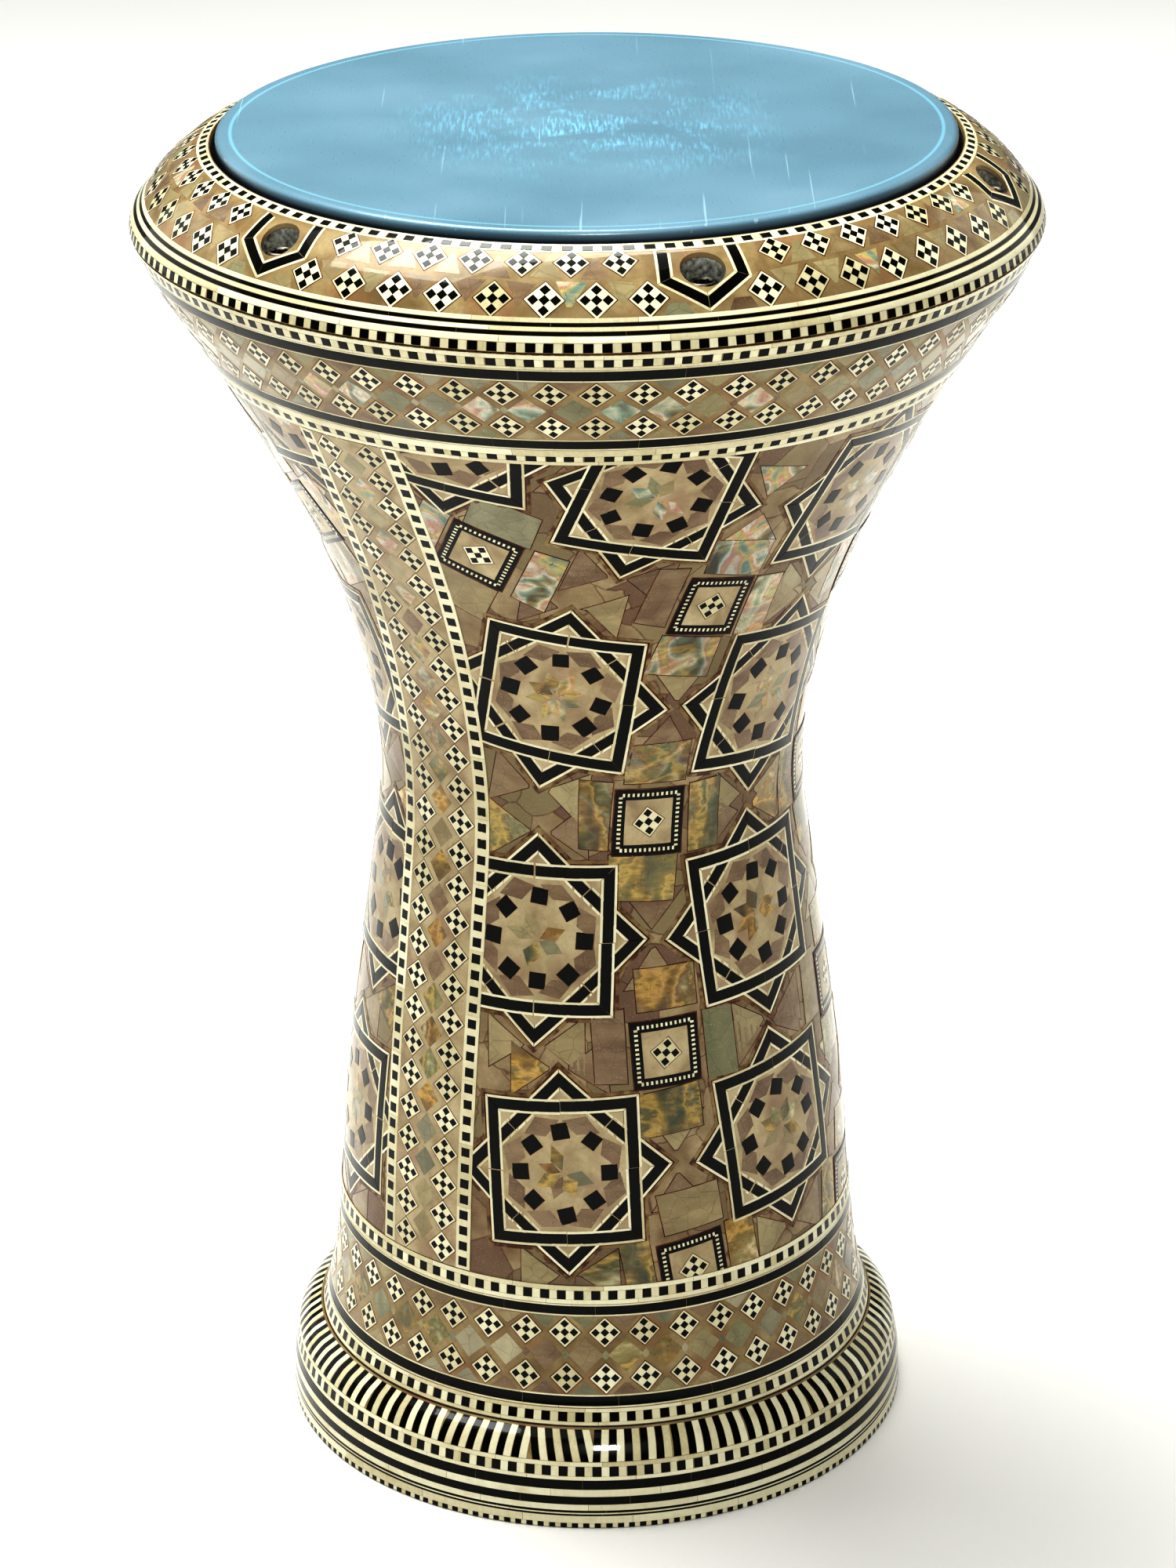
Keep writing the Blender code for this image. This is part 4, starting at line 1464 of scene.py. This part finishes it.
class BodyInlay(bpy.types.Operator):
    """Lays the inlay of the foot, stem, field and bowl"""

    bl_idname = "darbuka.body_inlay"
    bl_label = "Body inlay"

    def execute(self, context):
        seed, at = settings().inlay_seed, BODY.at_height
        pale, deep = band_ground_look(), field_ground_look()
        bands = (
            ("foot", (0.0, at(30.6)), lay_foot),
            ("stem_band", (at(31.0), at(76.9)), lay_stem_band),
            ("bowl_band", (at(FIELD_EDGE), at(SHOULDER)), lay_bowl_band),
        )
        for step, (zone, span, layer) in enumerate(bands):
            inlay_zone(zone, BODY, "shell", span, pale, [layer], seed + step)
        layers = [
            lambda inlay: lay_field(inlay, 0.0),
            lambda inlay: lay_field(inlay, math.pi),
            lambda inlay: lay_upright_band(inlay, BAND_ANGLE),
            lambda inlay: lay_upright_band(inlay, BAND_ANGLE + math.pi),
        ]
        span = (at(77.0), at(FIELD_EDGE - 0.1))
        inlay_zone("field", BODY, "shell", span, deep, layers, seed + len(bands), -0.29)
        return {"FINISHED"}


class RimInlay(bpy.types.Operator):
    """Lays the inlay of the tension ring"""

    bl_idname = "darbuka.rim_inlay"
    bl_label = "Rim inlay"

    def execute(self, context):
        seed, span = settings().inlay_seed + 9, (0.0, RING.length)
        inlay_zone("rim", RING, "rim", span, band_ground_look(), [lay_rim], seed, holes=True)
        return {"FINISHED"}


class RingAndHead(bpy.types.Operator):
    """Builds the tension ring, the hoop and the drum head's film"""

    bl_idname = "darbuka.ring_and_head"
    bl_label = "Ring and head"

    def execute(self, context):
        self.ring()
        self.hoop()
        self.film()
        return {"FINISHED"}

    def ring(self):
        """The ring is turned, then each bolt gets a clearance hole and a wider recess for its head."""
        floor = box_mm("bolt_washer_1")[0][2] - 0.3
        hole = [(AXIS, 390), (4.2, 390), (4.2, floor), (RECESS, floor), (RECESS, RECESS_TOP), (AXIS, RECESS_TOP)]
        ring = turned("ring_casting", ring_section()[::-1], 288)
        ring = cut_holes(ring, bolt_centres(), hole, RECESS_FLAT)
        ring.materials.clear()
        add_piece("ring_casting", ring, ring_metal_look(), "rim", ["tension_ring"])

    def hoop(self):
        """The hoop is a flat-sided ring with broken edges."""
        low, high, inner, outer, edge = 402.5, 408.7, 110.4, 114.6, 0.2
        section = [(inner + edge, low), (outer - edge, low), (outer, low + edge), (outer, high - edge)]
        section += [(outer - edge, high), (inner + edge, high), (inner, high - edge), (inner, low + edge)]
        hoop = turned("hoop_ring", section[::-1], 216)
        add_piece("hoop_ring", hoop, hoop_look(), "rim", ["head_hoop"])

    def film(self):
        """The film is flat, bends over the bearing edge, drops as a collar and turns out over the hoop."""
        top, thick, outer, out, bend = FILM_TOP, 0.5, 110.8, 114.0, 1.9
        turns, within = np.linspace(0, math.pi / 2, 10), bend - thick
        arc = [(outer - bend + bend * math.sin(a), top - bend + bend * math.cos(a)) for a in turns]
        back = [(outer - bend + within * math.sin(a), top - bend + within * math.cos(a)) for a in turns[::-1]]
        section = [(AXIS, top)] + [(r, top) for r in np.linspace(6, outer - bend - 0.5, 18)] + arc
        section += [(outer, 410.0), (outer + 0.15, 409.65), (outer + 0.5, 409.5), (out, 409.5), (out, 409.0)]
        section += [(outer - thick, 409.0)] + back + [(AXIS, top - thick)]
        film = turned("head_film_skin", section[::-1], 240, sharp=50)
        add_piece("head_film_skin", film, film_look(), "rim", ["head_film"])


class Bolts(bpy.types.Operator):
    """Builds the tension bolts with their washers and threaded inserts"""

    bl_idname = "darbuka.bolts"
    bl_label = "Bolts"

    def execute(self, context):
        for number, node in enumerate(BOLT_NODES, 1):
            centre = node_place(node)
            bolt = bolt_mesh(f"bolt_{number}", centre)
            washer = turned(f"washer_{number}", self.washer()[::-1], 64, centre)
            insert = turned(f"insert_{number}", self.insert()[::-1], 48, centre)
            name, body = f"tension_bolt_{number}_turned", f"bolt_{number}"
            add_piece(name, bolt, steel_look(), body, [node])
            name, washer_node = f"washer_{number}_turned", f"bolt_washer_{number}"
            add_piece(name, washer, zinc_look(), "rim", [washer_node])
            name, insert_node = f"insert_{number}_turned", f"thread_insert_{number}"
            add_piece(name, insert, brass_look(), "shell", [insert_node])
        return {"FINISHED"}

    def washer(self):
        """Section of a washer with broken outer edges, in its node's own size."""
        low, high = box_mm("bolt_washer_1")
        outer, low, high = (high[0] - low[0]) / 2, low[2], high[2]
        bore, edge = 3.3, 0.2
        section = [(bore, low), (outer - edge, low), (outer, low + edge)]
        return section + [(outer, high - edge), (outer - edge, high), (bore, high)]

    def insert(self):
        """Section of a threaded insert, a plain tube with a chamfer at its mouth."""
        low, high, bore, outer = 385.1, 397.7, 3.1, 4.6
        section = [(bore, low), (outer - 0.1, low), (outer, low + 0.2), (outer, high - 0.2)]
        return section + [(outer - 0.2, high), (bore + 0.3, high), (bore, high - 0.3)]


DAYLIGHT = (0.975, 1.0, 0.965)


class Stage(bpy.types.Operator):
    """Sets the floor, the lights and the camera"""

    bl_idname = "darbuka.stage"
    bl_label = "Stage"

    def execute(self, context):
        scene, power = context.scene, settings().key_power
        lights = [
            self.lamp("overhead", (-0.42, 0.42, 1.95), (1.5, 0.75), power * 1.2),
            self.lamp("window", (0.12, -1.75, 1.95), (0.34, 0.26), power * 0.8),
            self.lamp("left", (-1.8, 1.2, 0.9), (1.4, 1.6), power * 0.24),
            self.lamp("right", (1.8, 1.2, 0.9), (1.4, 1.6), power * 0.24),
            self.sky(),
        ]
        self.floor()
        world = bpy.data.worlds.new("studio")
        world.use_nodes = True
        background = world.node_tree.nodes["Background"]
        background.inputs["Color"].default_value = (*DAYLIGHT, 1)
        background.inputs["Strength"].default_value = 0.16
        scene.world = world
        scene.view_settings.view_transform = "Standard"
        scene.view_settings.look = "High Contrast"
        scene.view_settings.gamma = 0.8
        scene.camera = self.camera()
        return {"FINISHED"}

    @staticmethod
    def link(name, data):
        thing = bpy.data.objects.new(name, data)
        bpy.context.scene.collection.objects.link(thing)
        return thing

    def floor(self):
        """A plain square of pale paper."""
        reach = 6.0
        corners = [(-reach, -reach, 0), (reach, -reach, 0), (reach, reach, 0), (-reach, reach, 0)]
        mesh = bpy.data.meshes.new("floor")
        mesh.from_pydata(corners, [], [(0, 1, 2, 3)])
        look = Look("floor_paper", Roughness=0.75, Specular_IOR_Level=0.2)
        paper = look.ramp(look.noise(400, 2.0), (0.3, (0.92, 0.897, 0.90, 1)), (0.7, (0.94, 0.917, 0.92, 1)))
        mesh.materials.append(look.put(Base_Color=paper))
        return self.link("floor", mesh)

    def lamp(self, name, place, size, power):
        """A soft box that faces the middle of the drum."""
        data = bpy.data.lights.new(name, "AREA")
        data.shape, data.energy, data.color = "RECTANGLE", power, DAYLIGHT
        data.size, data.size_y = size
        lamp = self.link(name, data)
        lamp.location = place
        lamp.rotation_euler = (Vector((0, 0, 0.22)) - Vector(place)).to_track_quat("-Z", "Y").to_euler()
        return lamp

    def sky(self):
        data = bpy.data.lights.new("sky", "SUN")
        data.energy, data.angle, data.color = 0.62, math.radians(50), DAYLIGHT
        sky = self.link("sky", data)
        sky.rotation_euler = Vector((-0.2, 0.25, 1)).to_track_quat("Z", "Y").to_euler()
        return sky

    def camera(self):
        """Eye height over the rim, looking down at the drum's middle."""
        data = bpy.data.cameras.new("camera")
        data.lens, data.sensor_width = settings().camera_lens, 36.0
        data.clip_start, data.clip_end = 0.01, 100
        tilt = Matrix.Rotation(math.radians(66.78), 4, "X")
        roll = Matrix.Rotation(math.radians(-0.47), 4, "Z")
        yaw = Matrix.Rotation(math.radians(0.05), 4, "Z")
        camera = self.link("camera", data)
        camera.matrix_world = Matrix.Translation((0.0, -1.3977, 0.8110)) @ yaw @ tilt @ roll
        return camera


class DrumPanel(bpy.types.Panel):
    """Lists the operators that build the drum"""

    bl_idname = "VIEW3D_PT_darbuka"
    bl_label = "Darbuka"
    bl_space_type = "VIEW_3D"
    bl_region_type = "UI"
    bl_category = "Darbuka"

    def draw(self, context):
        for name in ("inlay_seed", "film_colour", "camera_lens", "key_power"):
            self.layout.prop(context.scene.darbuka, name)
        for operator in OPERATORS:
            self.layout.operator(operator.bl_idname)


OPERATORS = (BodyPieces, BodyInlay, RimInlay, RingAndHead, Bolts, Stage)
CLASSES = (Settings, *OPERATORS, DrumPanel)


def register():
    for kind in CLASSES:
        bpy.utils.register_class(kind)
    bpy.types.Scene.darbuka = bpy.props.PointerProperty(type=Settings)


def unregister():
    del bpy.types.Scene.darbuka
    for kind in reversed(CLASSES):
        bpy.utils.unregister_class(kind)


def main():
    """Builds the drum on its frame."""
    register()
    bpy.ops.darbuka.body_pieces()
    bpy.ops.darbuka.body_inlay()
    bpy.ops.darbuka.rim_inlay()
    bpy.ops.darbuka.ring_and_head()
    bpy.ops.darbuka.bolts()
    bpy.ops.darbuka.stage()
    bpy.context.view_layer.update()


if __name__ == "__main__":
    main()
